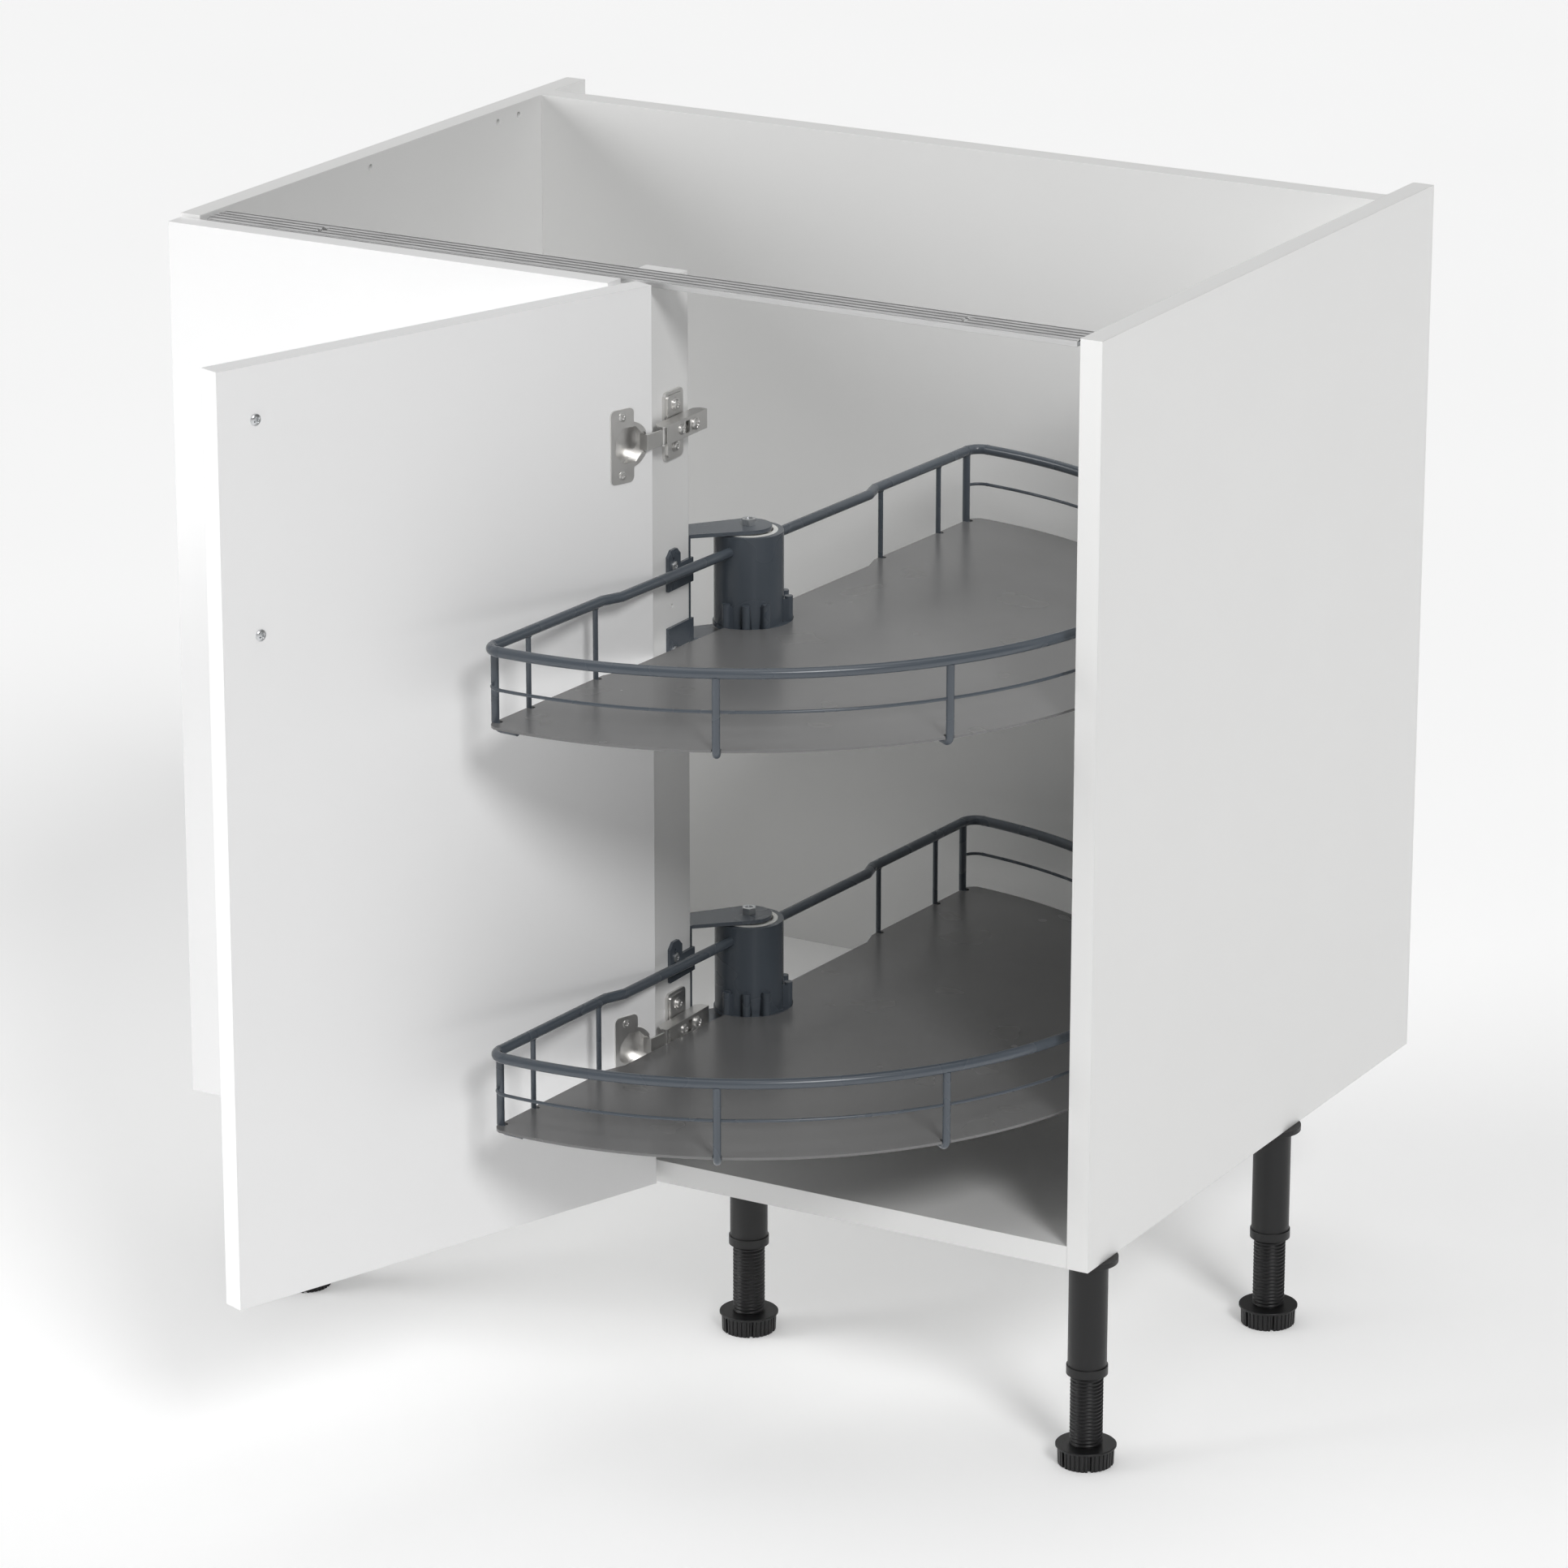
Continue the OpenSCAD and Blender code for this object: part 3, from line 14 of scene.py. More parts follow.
import bpy
import numpy as np
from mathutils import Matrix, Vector


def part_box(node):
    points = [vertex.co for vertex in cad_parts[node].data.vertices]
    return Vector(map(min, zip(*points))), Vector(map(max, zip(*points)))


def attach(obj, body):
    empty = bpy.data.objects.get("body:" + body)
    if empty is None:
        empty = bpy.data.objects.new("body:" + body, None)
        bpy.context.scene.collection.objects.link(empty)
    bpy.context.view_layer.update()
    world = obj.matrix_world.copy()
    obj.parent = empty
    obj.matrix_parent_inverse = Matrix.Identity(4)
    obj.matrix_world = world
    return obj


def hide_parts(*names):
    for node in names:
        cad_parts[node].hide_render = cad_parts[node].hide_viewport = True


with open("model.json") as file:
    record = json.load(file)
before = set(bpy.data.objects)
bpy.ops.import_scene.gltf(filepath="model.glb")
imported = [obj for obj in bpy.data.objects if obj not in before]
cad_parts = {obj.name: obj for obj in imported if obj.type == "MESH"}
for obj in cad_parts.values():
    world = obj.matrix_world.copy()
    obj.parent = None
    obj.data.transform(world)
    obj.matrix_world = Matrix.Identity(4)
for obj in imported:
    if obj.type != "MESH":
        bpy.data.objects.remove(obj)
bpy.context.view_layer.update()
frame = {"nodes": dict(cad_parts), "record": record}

# %% [markdown]
# ## One way to build every material
#
# Paint charts and catalogues give colours as sRGB hex values, while the renderer
# counts light linearly, so one function converts them. A second function adds a node
# and sets its inputs in one line, which keeps each material readable as a recipe:
# pattern, then colour, then roughness, then bump. The same nodes could be drawn by
# hand in the shader editor, but a recipe is easier to read and to change.


# %% Colours and nodes
def linear(hex_value):
    """Linear RGBA of an sRGB hex value: each channel is c/12.92 below 0.04045, and
    ((c + 0.055) / 1.055) to the power 2.4 above it."""
    c = np.array([int(hex_value[i : i + 2], 16) for i in (1, 3, 5)]) / 255
    lin = np.where(c <= 0.04045, c / 12.92, ((c + 0.055) / 1.055) ** 2.4)
    return (*[float(v) for v in lin], 1.0)


def add(tree, kind, values=None, links=None, **settings):
    """Adds a node of this kind. values and links are keyed by input name or number;
    a link is (node, output). Settings are the node's own properties."""
    node = tree.nodes.new("ShaderNode" + kind)
    for name, value in settings.items():
        setattr(node, name, value)
    for key, value in (values or {}).items():
        node.inputs[key].default_value = value
    for key, (source, output) in (links or {}).items():
        tree.links.new(source.outputs[output], node.inputs[key])
    return node


print("sRGB #808080 is", round(linear("#808080")[0], 3), "in linear light")

# %% [markdown]
# The materials share three more steps. Each starts empty, with one shader. Each reads
# its place in millimetres, so that the size of a pattern reads as on the real thing.
# And each ends by joining a colour, a roughness and a normal to the shader. Noise
# stays mostly near its middle value, so a roughness stretches that middle to its
# whole range.

# %% Steps that all materials share
MM_PER_M = 1000.0
EDGE_SAMPLES = 6


def new_material(name):
    """An empty material with a Principled shader joined to its output."""
    mat = bpy.data.materials.new(name)
    mat.use_nodes = True
    tree = mat.node_tree
    tree.nodes.clear()
    shader = add(tree, "BsdfPrincipled")
    out = add(tree, "OutputMaterial")
    tree.links.new(shader.outputs["BSDF"], out.inputs["Surface"])
    return mat, tree, shader


def millimetres(tree):
    """The place on the piece in millimetres: Object coordinates times 1000."""
    coord = add(tree, "TexCoord")
    return add(
        tree,
        "VectorMath",
        {1: (MM_PER_M,) * 3},
        {0: (coord, "Object")},
        operation="MULTIPLY",
    )


def spread(low, high, inner=0.3):
    """Values that stretch a noise from inner .. 1 - inner to low .. high."""
    return {"From Min": inner, "From Max": 1 - inner, "To Min": low, "To Max": high}


def join(tree, shader, colour, rough, normal):
    """Joins a colour mix, a roughness range and a normal to the shader."""
    tree.links.new(colour.outputs[2], shader.inputs["Base Color"])
    tree.links.new(rough.outputs["Result"], shader.inputs["Roughness"])
    tree.links.new(normal.outputs["Normal"], shader.inputs["Normal"])


print("roughness from noise, for example", spread(0.36, 0.44))

# %% [markdown]
# ## White melamine board
#
# The boards are chipboard with a white melamine paper pressed on: a very fine pearl
# grain, satin, with a faint broad waviness that only reflections show. The edges are
# closed with a thin plastic band, so they are as white as the faces, and slightly
# eased. A Bevel node rounds the normals there, which looks the same as a real radius
# and leaves the exact boards alone.

# %% Melamine
# The pearl grain is about 0.4 mm on the real board. It is drawn at 1.2 mm, because a
# finer one would not show at this distance.
PEARL_MM = 1.2
WAVE_MM = 90.0
BOARD_EDGE_MM = 0.8


def melamine(name, tint, pearl):
    """Melamine-faced board. pearl is the height of the fine grain in millimetres."""
    mat, tree, shader = new_material(name)
    mm = millimetres(tree)
    grain = add(
        tree,
        "TexNoise",
        {"Scale": 1 / PEARL_MM, "Detail": 3.0, "Roughness": 0.6},
        {"Vector": (mm, 0)},
    )
    wave = add(
        tree,
        "TexNoise",
        {"Scale": 1 / WAVE_MM, "Detail": 2.0, "Roughness": 0.5},
        {"Vector": (mm, 0)},
    )
    shade = add(tree, "MapRange", spread(0.0, 1.0), {"Value": (wave, "Fac")})
    a, b = tint
    colour = add(
        tree,
        "Mix",
        {6: linear(a), 7: linear(b)},
        {0: (shade, "Result")},
        data_type="RGBA",
    )
    gloss = add(tree, "MapRange", spread(0.36, 0.44), {"Value": (grain, "Fac")})
    edge = add(
        tree, "Bevel", {"Radius": BOARD_EDGE_MM / MM_PER_M}, samples=EDGE_SAMPLES
    )
    bump = add(
        tree,
        "Bump",
        {"Strength": 0.25, "Distance": pearl / MM_PER_M},
        {"Height": (grain, "Fac"), "Normal": (edge, "Normal")},
    )
    join(tree, shader, colour, gloss, bump)
    shader.inputs["IOR"].default_value = 1.5
    shader.inputs["Coat Weight"].default_value = 0.08
    shader.inputs["Coat Roughness"].default_value = 0.2
    return mat


carcass_white = melamine("white_melamine_board", ("#f4f4f3", "#f5f5f4"), 0.05)
front_white = melamine("white_lacquered_front", ("#f9f9f9", "#fafafa"), 0.02)
print("boards:", carcass_white.name, "and", front_white.name)

# %% [markdown]
# ## Brushed metal
#
# The rail across the front is rolled sheet, brushed along its length, and the handle
# is ground steel. Both show fine marks in one direction. An anisotropic shader could
# hint at them, but noise that is stretched along the marks shows the marks
# themselves, also close up. Metals keep the default IOR.

# %% Brushed and ground metal
STREAK_RATIO = 60
BRUSHED_EDGE_MM = 0.3


def brushed(name, colour, along, roughness, streak_mm, depth_mm):
    """Metal with fine marks along one axis: noise squeezed across that axis and
    stretched 60 times along it."""
    mat, tree, shader = new_material(name)
    mm = millimetres(tree)
    stretch = [1 / streak_mm] * 3
    stretch["xyz".index(along)] = 1 / (STREAK_RATIO * streak_mm)
    squeezed = add(
        tree, "VectorMath", {1: stretch}, {0: (mm, 0)}, operation="MULTIPLY"
    )
    marks = add(
        tree,
        "TexNoise",
        {"Scale": 1.0, "Detail": 4.0, "Roughness": 0.65},
        {"Vector": (squeezed, 0)},
    )
    dark, light = colour
    shade = add(
        tree,
        "Mix",
        {6: linear(dark), 7: linear(light)},
        {0: (marks, "Fac")},
        data_type="RGBA",
    )
    rough = add(
        tree,
        "MapRange",
        spread(roughness - 0.06, roughness + 0.08),
        {"Value": (marks, "Fac")},
    )
    edge = add(
        tree, "Bevel", {"Radius": BRUSHED_EDGE_MM / MM_PER_M}, samples=EDGE_SAMPLES
    )
    bump = add(
        tree,
        "Bump",
        {"Strength": 0.35, "Distance": depth_mm / MM_PER_M},
        {"Height": (marks, "Fac"), "Normal": (edge, "Normal")},
    )
    join(tree, shader, shade, rough, bump)
    shader.inputs["Metallic"].default_value = 1.0
    return mat


rail_sheet = brushed(
    "brushed_rolled_rail", ("#c2c2c2", "#e2e2e2"), "x", 0.42, 0.5, 0.02
)
handle_steel = brushed(
    "ground_steel_handle", ("#a3a5a7", "#c9cacb"), "z", 0.28, 0.4, 0.02
)
print("brushed:", rail_sheet.name, "and", handle_steel.name)

# %% [markdown]
# ## Plated metal
#
# The hinges are nickel plated, smooth and slightly warm. The small fastenings are
# zinc plated in a barrel, which leaves them patchy. Two close tones and a little haze
# in soft patches give both. A plated sheet has no relief worth a bump, so only its
# edges are rounded.


# %% Nickel and zinc
def plated(name, colour, roughness, patch_mm, edge_mm=0.25):
    """Electroplated steel: two close tones in soft patches, and a little haze."""
    mat, tree, shader = new_material(name)
    mm = millimetres(tree)
    patches = add(
        tree,
        "TexNoise",
        {"Scale": 1 / patch_mm, "Detail": 3.0, "Roughness": 0.55},
        {"Vector": (mm, 0)},
    )
    a, b = colour
    shade = add(
        tree,
        "Mix",
        {6: linear(a), 7: linear(b)},
        {0: (patches, "Fac")},
        data_type="RGBA",
    )
    rough = add(
        tree,
        "MapRange",
        spread(roughness - 0.05, roughness + 0.06, 0.35),
        {"Value": (patches, "Fac")},
    )
    edge = add(tree, "Bevel", {"Radius": edge_mm / MM_PER_M}, samples=EDGE_SAMPLES)
    join(tree, shader, shade, rough, edge)
    shader.inputs["Metallic"].default_value = 1.0
    return mat


hinge_nickel = plated(
    "nickel_plated_hinge", ("#dedddb", "#e4e3e1"), 0.36, 12.0, 0.35
)
zinc_bright = plated("zinc_plated_fastener", ("#cfd1d3", "#dfe1e2"), 0.33, 3.0)
print("plated:", hinge_nickel.name, "and", zinc_bright.name)

# %% [markdown]
# ## Powder coat on the carousel
#
# The wire rail, hub and brackets are powder coated slate grey: baked plastic with a
# slight orange peel, so highlights are broad and a little broken. The shelf sheet has
# the same coat in a lighter grey. The peel could also drive the roughness, but that
# breaks the highlight into speckle, so the peel is only a low bump and the roughness
# follows a broad cloud.

# %% Powder coat
CLOUD_MM = 60.0


def powder_coat(name, colour, roughness, peel_mm, height_mm):
    """Powder coat: peel_mm is the width of one orange-peel cell."""
    mat, tree, shader = new_material(name)
    mm = millimetres(tree)
    peel = add(
        tree,
        "TexNoise",
        {"Scale": 1 / peel_mm, "Detail": 2.0, "Roughness": 0.45},
        {"Vector": (mm, 0)},
    )
    cloud = add(
        tree, "TexNoise", {"Scale": 1 / CLOUD_MM, "Detail": 2.0}, {"Vector": (mm, 0)}
    )
    a, b = colour
    shade = add(
        tree,
        "Mix",
        {6: linear(a), 7: linear(b)},
        {0: (cloud, "Fac")},
        data_type="RGBA",
    )
    rough = add(
        tree,
        "MapRange",
        spread(roughness - 0.03, roughness + 0.03),
        {"Value": (cloud, "Fac")},
    )
    bump = add(
        tree,
        "Bump",
        {"Strength": 0.3, "Distance": height_mm / MM_PER_M},
        {"Height": (peel, "Fac")},
    )
    join(tree, shader, shade, rough, bump)
    shader.inputs["IOR"].default_value = 1.5
    shader.inputs["Coat Weight"].default_value = 0.15
    shader.inputs["Coat Roughness"].default_value = 0.25
    return mat


slate_coat = powder_coat("slate_powder_coat", ("#4c535b", "#545b63"), 0.27, 1.6, 0.02)
shelf_coat = powder_coat("grey_powder_coat", ("#747474", "#797979"), 0.25, 1.8, 0.003)
print("powder coats:", slate_coat.name, "and", shelf_coat.name)

# %% [markdown]
# ## Moulded plastic
#
# The legs are moulded black polypropylene with a fine spark-eroded grain. The bushes
# in the hubs are white acetal, smooth and slightly waxy. The grain of the mould gives
# both its colour, its haze and its relief, so one noise drives all three.

# %% Moulded plastic
MOULD_EDGE_MM = 0.4


def moulded(name, colour, roughness, grain_mm, height_mm, ior=1.49):
    """Moulded plastic with an eroded grain of grain_mm."""
    mat, tree, shader = new_material(name)
    mm = millimetres(tree)
    grain = add(
        tree,
        "TexNoise",
        {"Scale": 1 / grain_mm, "Detail": 4.0, "Roughness": 0.6},
        {"Vector": (mm, 0)},
    )
    a, b = colour
    shade = add(
        tree,
        "Mix",
        {6: linear(a), 7: linear(b)},
        {0: (grain, "Fac")},
        data_type="RGBA",
    )
    rough = add(
        tree,
        "MapRange",
        spread(roughness - 0.05, roughness + 0.06),
        {"Value": (grain, "Fac")},
    )
    edge = add(
        tree, "Bevel", {"Radius": MOULD_EDGE_MM / MM_PER_M}, samples=EDGE_SAMPLES
    )
    bump = add(
        tree,
        "Bump",
        {"Strength": 0.4, "Distance": height_mm / MM_PER_M},
        {"Height": (grain, "Fac"), "Normal": (edge, "Normal")},
    )
    join(tree, shader, shade, rough, bump)
    shader.inputs["IOR"].default_value = ior
    return mat


leg_black = moulded(
    "black_moulded_polypropylene", ("#0f0f10", "#161617"), 0.4, 0.8, 0.01
)
bush_acetal = moulded(
    "white_acetal_bush", ("#e9e9e4", "#f1f1ee"), 0.3, 1.5, 0.01, 1.48
)
print("plastics:", leg_black.name, "and", bush_acetal.name)

# %% [markdown]
# ## Beech dowels
#
# The dowels hide inside the boards but are finished too. Beech shows short dark
# flecks along the grain: noise that is stretched along the dowel, read through a
# ramp of two wood tones so that the flecks stay few and distinct.

# %% Beech
# Flecks per millimetre along the dowel (x) and across it
FLECKS_PER_MM = (0.25, 2.0, 2.0)


def beech(name):
    """Beech turned to a dowel: pale wood with short dark flecks along the grain."""
    mat, tree, shader = new_material(name)
    mm = millimetres(tree)
    along = add(
        tree, "VectorMath", {1: FLECKS_PER_MM}, {0: (mm, 0)}, operation="MULTIPLY"
    )
    flecks = add(
        tree, "TexNoise", {"Scale": 1.0, "Detail": 5.0}, {"Vector": (along, 0)}
    )
    ramp = add(tree, "ValToRGB", None, {"Fac": (flecks, "Fac")})
    fleck, wood = ramp.color_ramp.elements
    fleck.color, fleck.position = linear("#b98f5c"), 0.35
    wood.color, wood.position = linear("#dcbf92"), 0.6
    tree.links.new(ramp.outputs["Color"], shader.inputs["Base Color"])
    shader.inputs["Roughness"].default_value = 0.6
    return mat


dowel_beech = beech("turned_beech_dowel")
print("wood:", dowel_beech.name)

# %% [markdown]
# ## Finishes for the CAD nodes
#
# Every node could be given its material by name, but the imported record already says
# which slot each node belongs to, so a table from slot to material dresses all of
# them at once. Their meshes are left alone, because their normals are already right.

# %% Dress the nodes
finish_of_slot = {
    "carcass_board": carcass_white,
    "front_board": front_white,
    "dowel_beech": dowel_beech,
    "rail_metal": rail_sheet,
    "zinc_steel": zinc_bright,
    "hinge_nickel": hinge_nickel,
    "handle_steel": handle_steel,
    "slate_coating": slate_coat,
    "shelf_coating": shelf_coat,
    "bush_plastic": bush_acetal,
    "leg_plastic": leg_black,
}
slot_of_node = {
    part["node"]: part["material_slot"] for part in frame["record"]["subparts"]
}
for name, node in frame["nodes"].items():
    node.data.materials.clear()
    node.data.materials.append(finish_of_slot[slot_of_node[name]])
print("dressed", len(slot_of_node), "nodes in", len(finish_of_slot), "finishes")

# %% [markdown]
# ## Surfaces from arrays
#
# Each new piece is a grid of points: one direction goes along a profile, the other
# goes round. Blender's own Spin or Screw tool could turn a profile too, but a grid
# may also change its radius as it goes round, as a thread does. One function closes a
# grid, and another puts all grids of a piece into one mesh and hands it to the body
# that it moves with.


# %% Close a grid
def ring_grid(points):
    """Vertices and faces of a grid [profile, round, 3] that closes on itself round.
    The first and the last row are poles and become single points with triangles."""
    n, m = points.shape[:2]
    inner = points[1:-1].reshape(-1, 3)
    verts = np.vstack([inner, points[0].mean(0), points[-1].mean(0)])
    i, j = np.meshgrid(np.arange(n - 3), np.arange(m), indexing="ij")
    k = (j + 1) % m
    quads = np.stack([i * m + j, i * m + k, (i + 1) * m + k, (i + 1) * m + j], -1)
    j = np.arange(m)
    k = (j + 1) % m
    first = np.stack([np.full(m, len(inner)), k, j], -1)
    last = (n - 3) * m
    end = np.stack([np.full(m, len(inner) + 1), last + j, last + k], -1)
    return verts, quads.reshape(-1, 4).tolist() + first.tolist() + end.tolist()


def volume_of(mesh):
    """Signed volume: the sum over triangles of a . (b x c) / 6."""
    mesh.calc_loop_triangles()
    co = np.zeros(len(mesh.vertices) * 3)
    mesh.vertices.foreach_get("co", co)
    tri = np.zeros(len(mesh.loop_triangles) * 3, int)
    mesh.loop_triangles.foreach_get("vertices", tri)
    a, b, c = co.reshape(-1, 3)[tri.reshape(-1, 3)].transpose(1, 0, 2)
    return float(np.einsum("ij,ij->", a, np.cross(b, c)) / 6)


# %% Grids to a piece
def piece_from(name, grids, material, body, smooth_deg=35):
    """One object from several grids, facing outwards, riding on a body. Edges that
    turn by more than smooth_deg stay sharp."""
    verts, faces, start = [], [], 0
    for grid in grids:
        v, f = ring_grid(grid)
        verts.append(v)
        faces += [[c + start for c in face] for face in f]
        start += len(v)
    mesh = bpy.data.meshes.new(name)
    mesh.from_pydata(np.vstack(verts).tolist(), [], faces)
    mesh.validate()
    obj = bpy.data.objects.new(name, mesh)
    bpy.context.scene.collection.objects.link(obj)
    if volume_of(mesh) < 0:
        mesh.flip_normals()
    mesh.materials.append(material)
    mesh.polygons.foreach_set("use_smooth", [True] * len(mesh.polygons))
    mesh.set_sharp_from_angle(angle=math.radians(smooth_deg))
    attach(obj, body)
    print(name, len(mesh.polygons), "faces on", body)
    return obj


# %% [markdown]
# ## The feet
#
# Each foot is one moulding: a disc with a notched skirt to grip when the height is
# set by hand, and a stem with a real helical thread. The CAD model has plain rings
# in place of the thread, so the stem is worked out here as a surface whose radius
# follows the height plus the turn. A Screw modifier could wind it too, but a formula
# lets the thread fade out at the top and keeps the stem closed.

# %% The foot's base
FOOT_PITCH = 0.003
STEM_R, STEM_TOP = 0.01275, 0.114
DISC_R, DISC_TOP = 0.0235, 0.016
SKIRT_R, SKIRT_H = DISC_R - 0.002, 0.014
RECESS_H = 0.004
RIBS, SLOTS = 36, 6
GROOVE_DEPTH, SLOT_DEPTH = 0.0008, 0.0026
# Small steps in the profile that ease its edges
EASE, SKIRT_EASE = 0.0004, 0.0005


def foot_base_surface():
    """Turned profile from the recess under the foot, out over the skirt and the disc
    to its middle. With the angle the skirt's radius loses 0.8 mm in each of 36 narrow
    grooves, where cos(36 turn) is low, and 2.6 mm in each of 6 slots."""
    turn = np.linspace(0, 2 * np.pi, 12 * RIBS, endpoint=False)
    # Radius, height, and how much of the groove's depth this point takes
    profile = np.array(
        [
            [0, RECESS_H, 0],
            [0.0160, RECESS_H, 0],
            [0.0166, 0.0036, 0],
            [0.0170, 0.0004, 0],
            [0.0174, 0.0, 0],
            [SKIRT_R - SKIRT_EASE, 0.0, 1],
            [SKIRT_R, SKIRT_EASE, 1],
            [SKIRT_R + SKIRT_EASE, SKIRT_H - 0.0003, 1],
            [SKIRT_R + SKIRT_EASE, SKIRT_H, 0],
            [DISC_R - EASE, SKIRT_H, 0],
            [DISC_R, SKIRT_H + EASE, 0],
            [DISC_R, DISC_TOP - EASE, 0],
            [DISC_R - EASE, DISC_TOP, 0],
            [0, DISC_TOP, 0],
        ]
    )
    # The factors set how steep a flank is, the numbers taken off how wide it is
    groove = np.clip(-3 * np.cos(RIBS * turn) - 1.4, 0, 1)
    slot = np.clip(60 * np.cos(SLOTS * (turn - np.pi / RIBS)) - 56, 0, 1)
    depth = np.maximum(GROOVE_DEPTH * groove, SLOT_DEPTH * slot)
    r = profile[:, :1] - profile[:, 2:] * depth
    h = profile[:, 1:2] + 0 * turn
    return np.stack([r * np.cos(turn), r * np.sin(turn), h], -1)


base = foot_base_surface()
print("foot base", base.shape[0], "rows of", base.shape[1], "points")

# %% The threaded stem
THREAD_DEPTH = 0.0010
STEM_SIDES, ROWS_PER_PITCH = 72, 8


def stem_surface():
    """Threaded stem. Its radius is the outer radius less a 1 mm deep thread, whose wave
    is the cosine of a full turn times (height / pitch - angle / full turn), cut flat at
    the crests and the roots. The thread fades out over 3 mm below the top."""
    turn = np.linspace(0, 2 * np.pi, STEM_SIDES, endpoint=False)
    z = np.arange(DISC_TOP - 0.0005, STEM_TOP - 0.003, FOOT_PITCH / ROWS_PER_PITCH)
    wave = np.cos(2 * np.pi * (z[:, None] / FOOT_PITCH - turn / (2 * np.pi)))
    fade = np.clip((STEM_TOP - 0.004 - z) / 0.003, 0, 1)[:, None]
    crest = 0.5 + 0.5 * np.clip(1.5 * wave, -1, 1)
    thread = STEM_R - THREAD_DEPTH + THREAD_DEPTH * fade * crest
    # Radii and heights that close the stem: inside the disc, then a chamfer on top
    ends_r = np.array([0, STEM_R - 0.001, STEM_R - 0.003, STEM_R - 0.0035, 0])
    ends_h = [z[0] - 0.0004, STEM_TOP - 0.0028, STEM_TOP - 0.0002, STEM_TOP, STEM_TOP]
    r = np.vstack([0 * turn, thread, ends_r[1:, None] + 0 * turn])
    h = np.concatenate([ends_h[:1], z, ends_h[1:]])[:, None] + 0 * turn
    return np.stack([r * np.cos(turn), r * np.sin(turn), h], -1)


stem = stem_surface()
turns = (STEM_TOP - DISC_TOP) / FOOT_PITCH
print("stem", stem.shape[0], "rows,", round(turns), "turns of thread")

# %% Five feet
for name in ("front_left", "front_right", "rear_left", "rear_right", "middle"):
    lo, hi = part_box("foot_" + name)
    axis = np.array([(lo.x + hi.x) / 2, (lo.y + hi.y) / 2, 0])
    foot = piece_from(
        "threaded_foot_" + name,
        [base + axis, stem + axis],
        leg_black,
        "foot_" + name,
    )
    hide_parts("foot_" + name)

# %% [markdown]
# ## Screws
#
# The visible screws have domed pan heads with a cross recess. The cross could be cut
# out of a turned head with a Boolean modifier, but on a polar grid it is one more
# term of the height, and the mesh stays clean: the height is a dome, less the recess
# where the point lies in one of two crossing bars. The shank goes on down from the
# head's edge and closes in a tip, so each screw is one closed skin.

# %% Screw surface
SCREW_SIDES = 56


def screw_surface(head_r, head_h, shank_r, shank_l, recess, washer=None):
    """Screw along -Z with its head's seat at height 0. For a radius r on the head the
    height is head_h * sqrt(1 - 0.8 (r / head_r)^2), less the recess depth where
    min(|x|, |y|) is under its half width and r is under its reach. A washer is
    (radius, thickness), and lies below the seat."""
    turn = np.linspace(0, 2 * np.pi, SCREW_SIDES, endpoint=False)
    radii = np.concatenate([[0], np.linspace(0.06, 1, 17)]) * head_r
    x, y = radii[:, None] * np.cos(turn), radii[:, None] * np.sin(turn)
    dome = head_h * np.sqrt(1 - 0.8 * (radii[:, None] / head_r) ** 2)
    half, reach = 0.15 * head_r, 0.62 * head_r
    narrow = np.minimum(abs(x), abs(y))
    inside = np.clip((half - narrow) / (0.3 * half) + 0.5, 0, 1)
    taper = np.clip((reach - radii[:, None]) / (0.45 * reach), 0, 1)
    head = np.stack([x, y, dome - recess * inside * taper], -1)
    washer_r, washer_t = washer or (head_r, 0.0)
    # Radius and height of each row below the head
    rows = [
        (head_r, 0.0),
        (washer_r, -0.15 * washer_t),
        (washer_r, -washer_t),
        (shank_r, -washer_t),
        (shank_r, -shank_l * 0.85),
        (shank_r * 0.3, -shank_l),
        (0.0, -shank_l),
    ]
    rest = [
        np.stack([r * np.cos(turn), r * np.sin(turn), 0 * turn + h], -1)
        for r, h in rows
    ]
    return np.concatenate([head, np.array(rest)])


def set_screw(points, seat, axis, twist):
    """Moves a screw so that its seat is at a point and its head looks along axis,
    after a turn by twist round its own axis: points times the two rotations."""
    turned = Vector(axis).normalized().to_track_quat("Z", "Y").to_matrix()
    cos, sin = math.cos(twist), math.sin(twist)
    spin = np.array([[cos, -sin, 0], [sin, cos, 0], [0, 0, 1]])
    return points @ (np.array(turned) @ spin).T + np.array(seat)


handle_screw = screw_surface(0.00425, 0.0024, 0.002, 0.020, 0.0016)
print("a screw has", handle_screw.shape[0], "rows of", SCREW_SIDES, "points")

# %% [markdown]
# The door's screws sit in the door's own frame, which stands open at 110 degrees.
# They could be placed by measured points in space, but one function that turns a
# point of the closed door to its open place lets the same plain numbers serve as on
# a drawing.

# %% Places on the open door
PIVOT = np.array([0.013, -0.015])
OPEN = math.radians(-110)


def on_open_door(x, y, z):
    """Rotates a point of the closed door about the pivot by the opening angle."""
    dx, dy = x - PIVOT[0], y - PIVOT[1]
    return (
        PIVOT[0] + dx * math.cos(OPEN) - dy * math.sin(OPEN),
        PIVOT[1] + dx * math.sin(OPEN) + dy * math.cos(OPEN),
        z,
    )


INTO_CABINET = (-math.sin(OPEN), math.cos(OPEN), 0)
print("inner face of the door looks along", [round(v, 3) for v in INTO_CABINET])

# %% Handle screws
HANDLE_X = 0.365
HANDLE_LEVELS = (0.6875, 0.8475)
seats = [on_open_door(HANDLE_X, -0.002, z) for z in HANDLE_LEVELS]
piece = piece_from(
    "pan_head_handle_screws",
    [set_screw(handle_screw, seat, INTO_CABINET, 0.5) for seat in seats],
    zinc_bright,
    "door",
)
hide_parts("handle_screws")

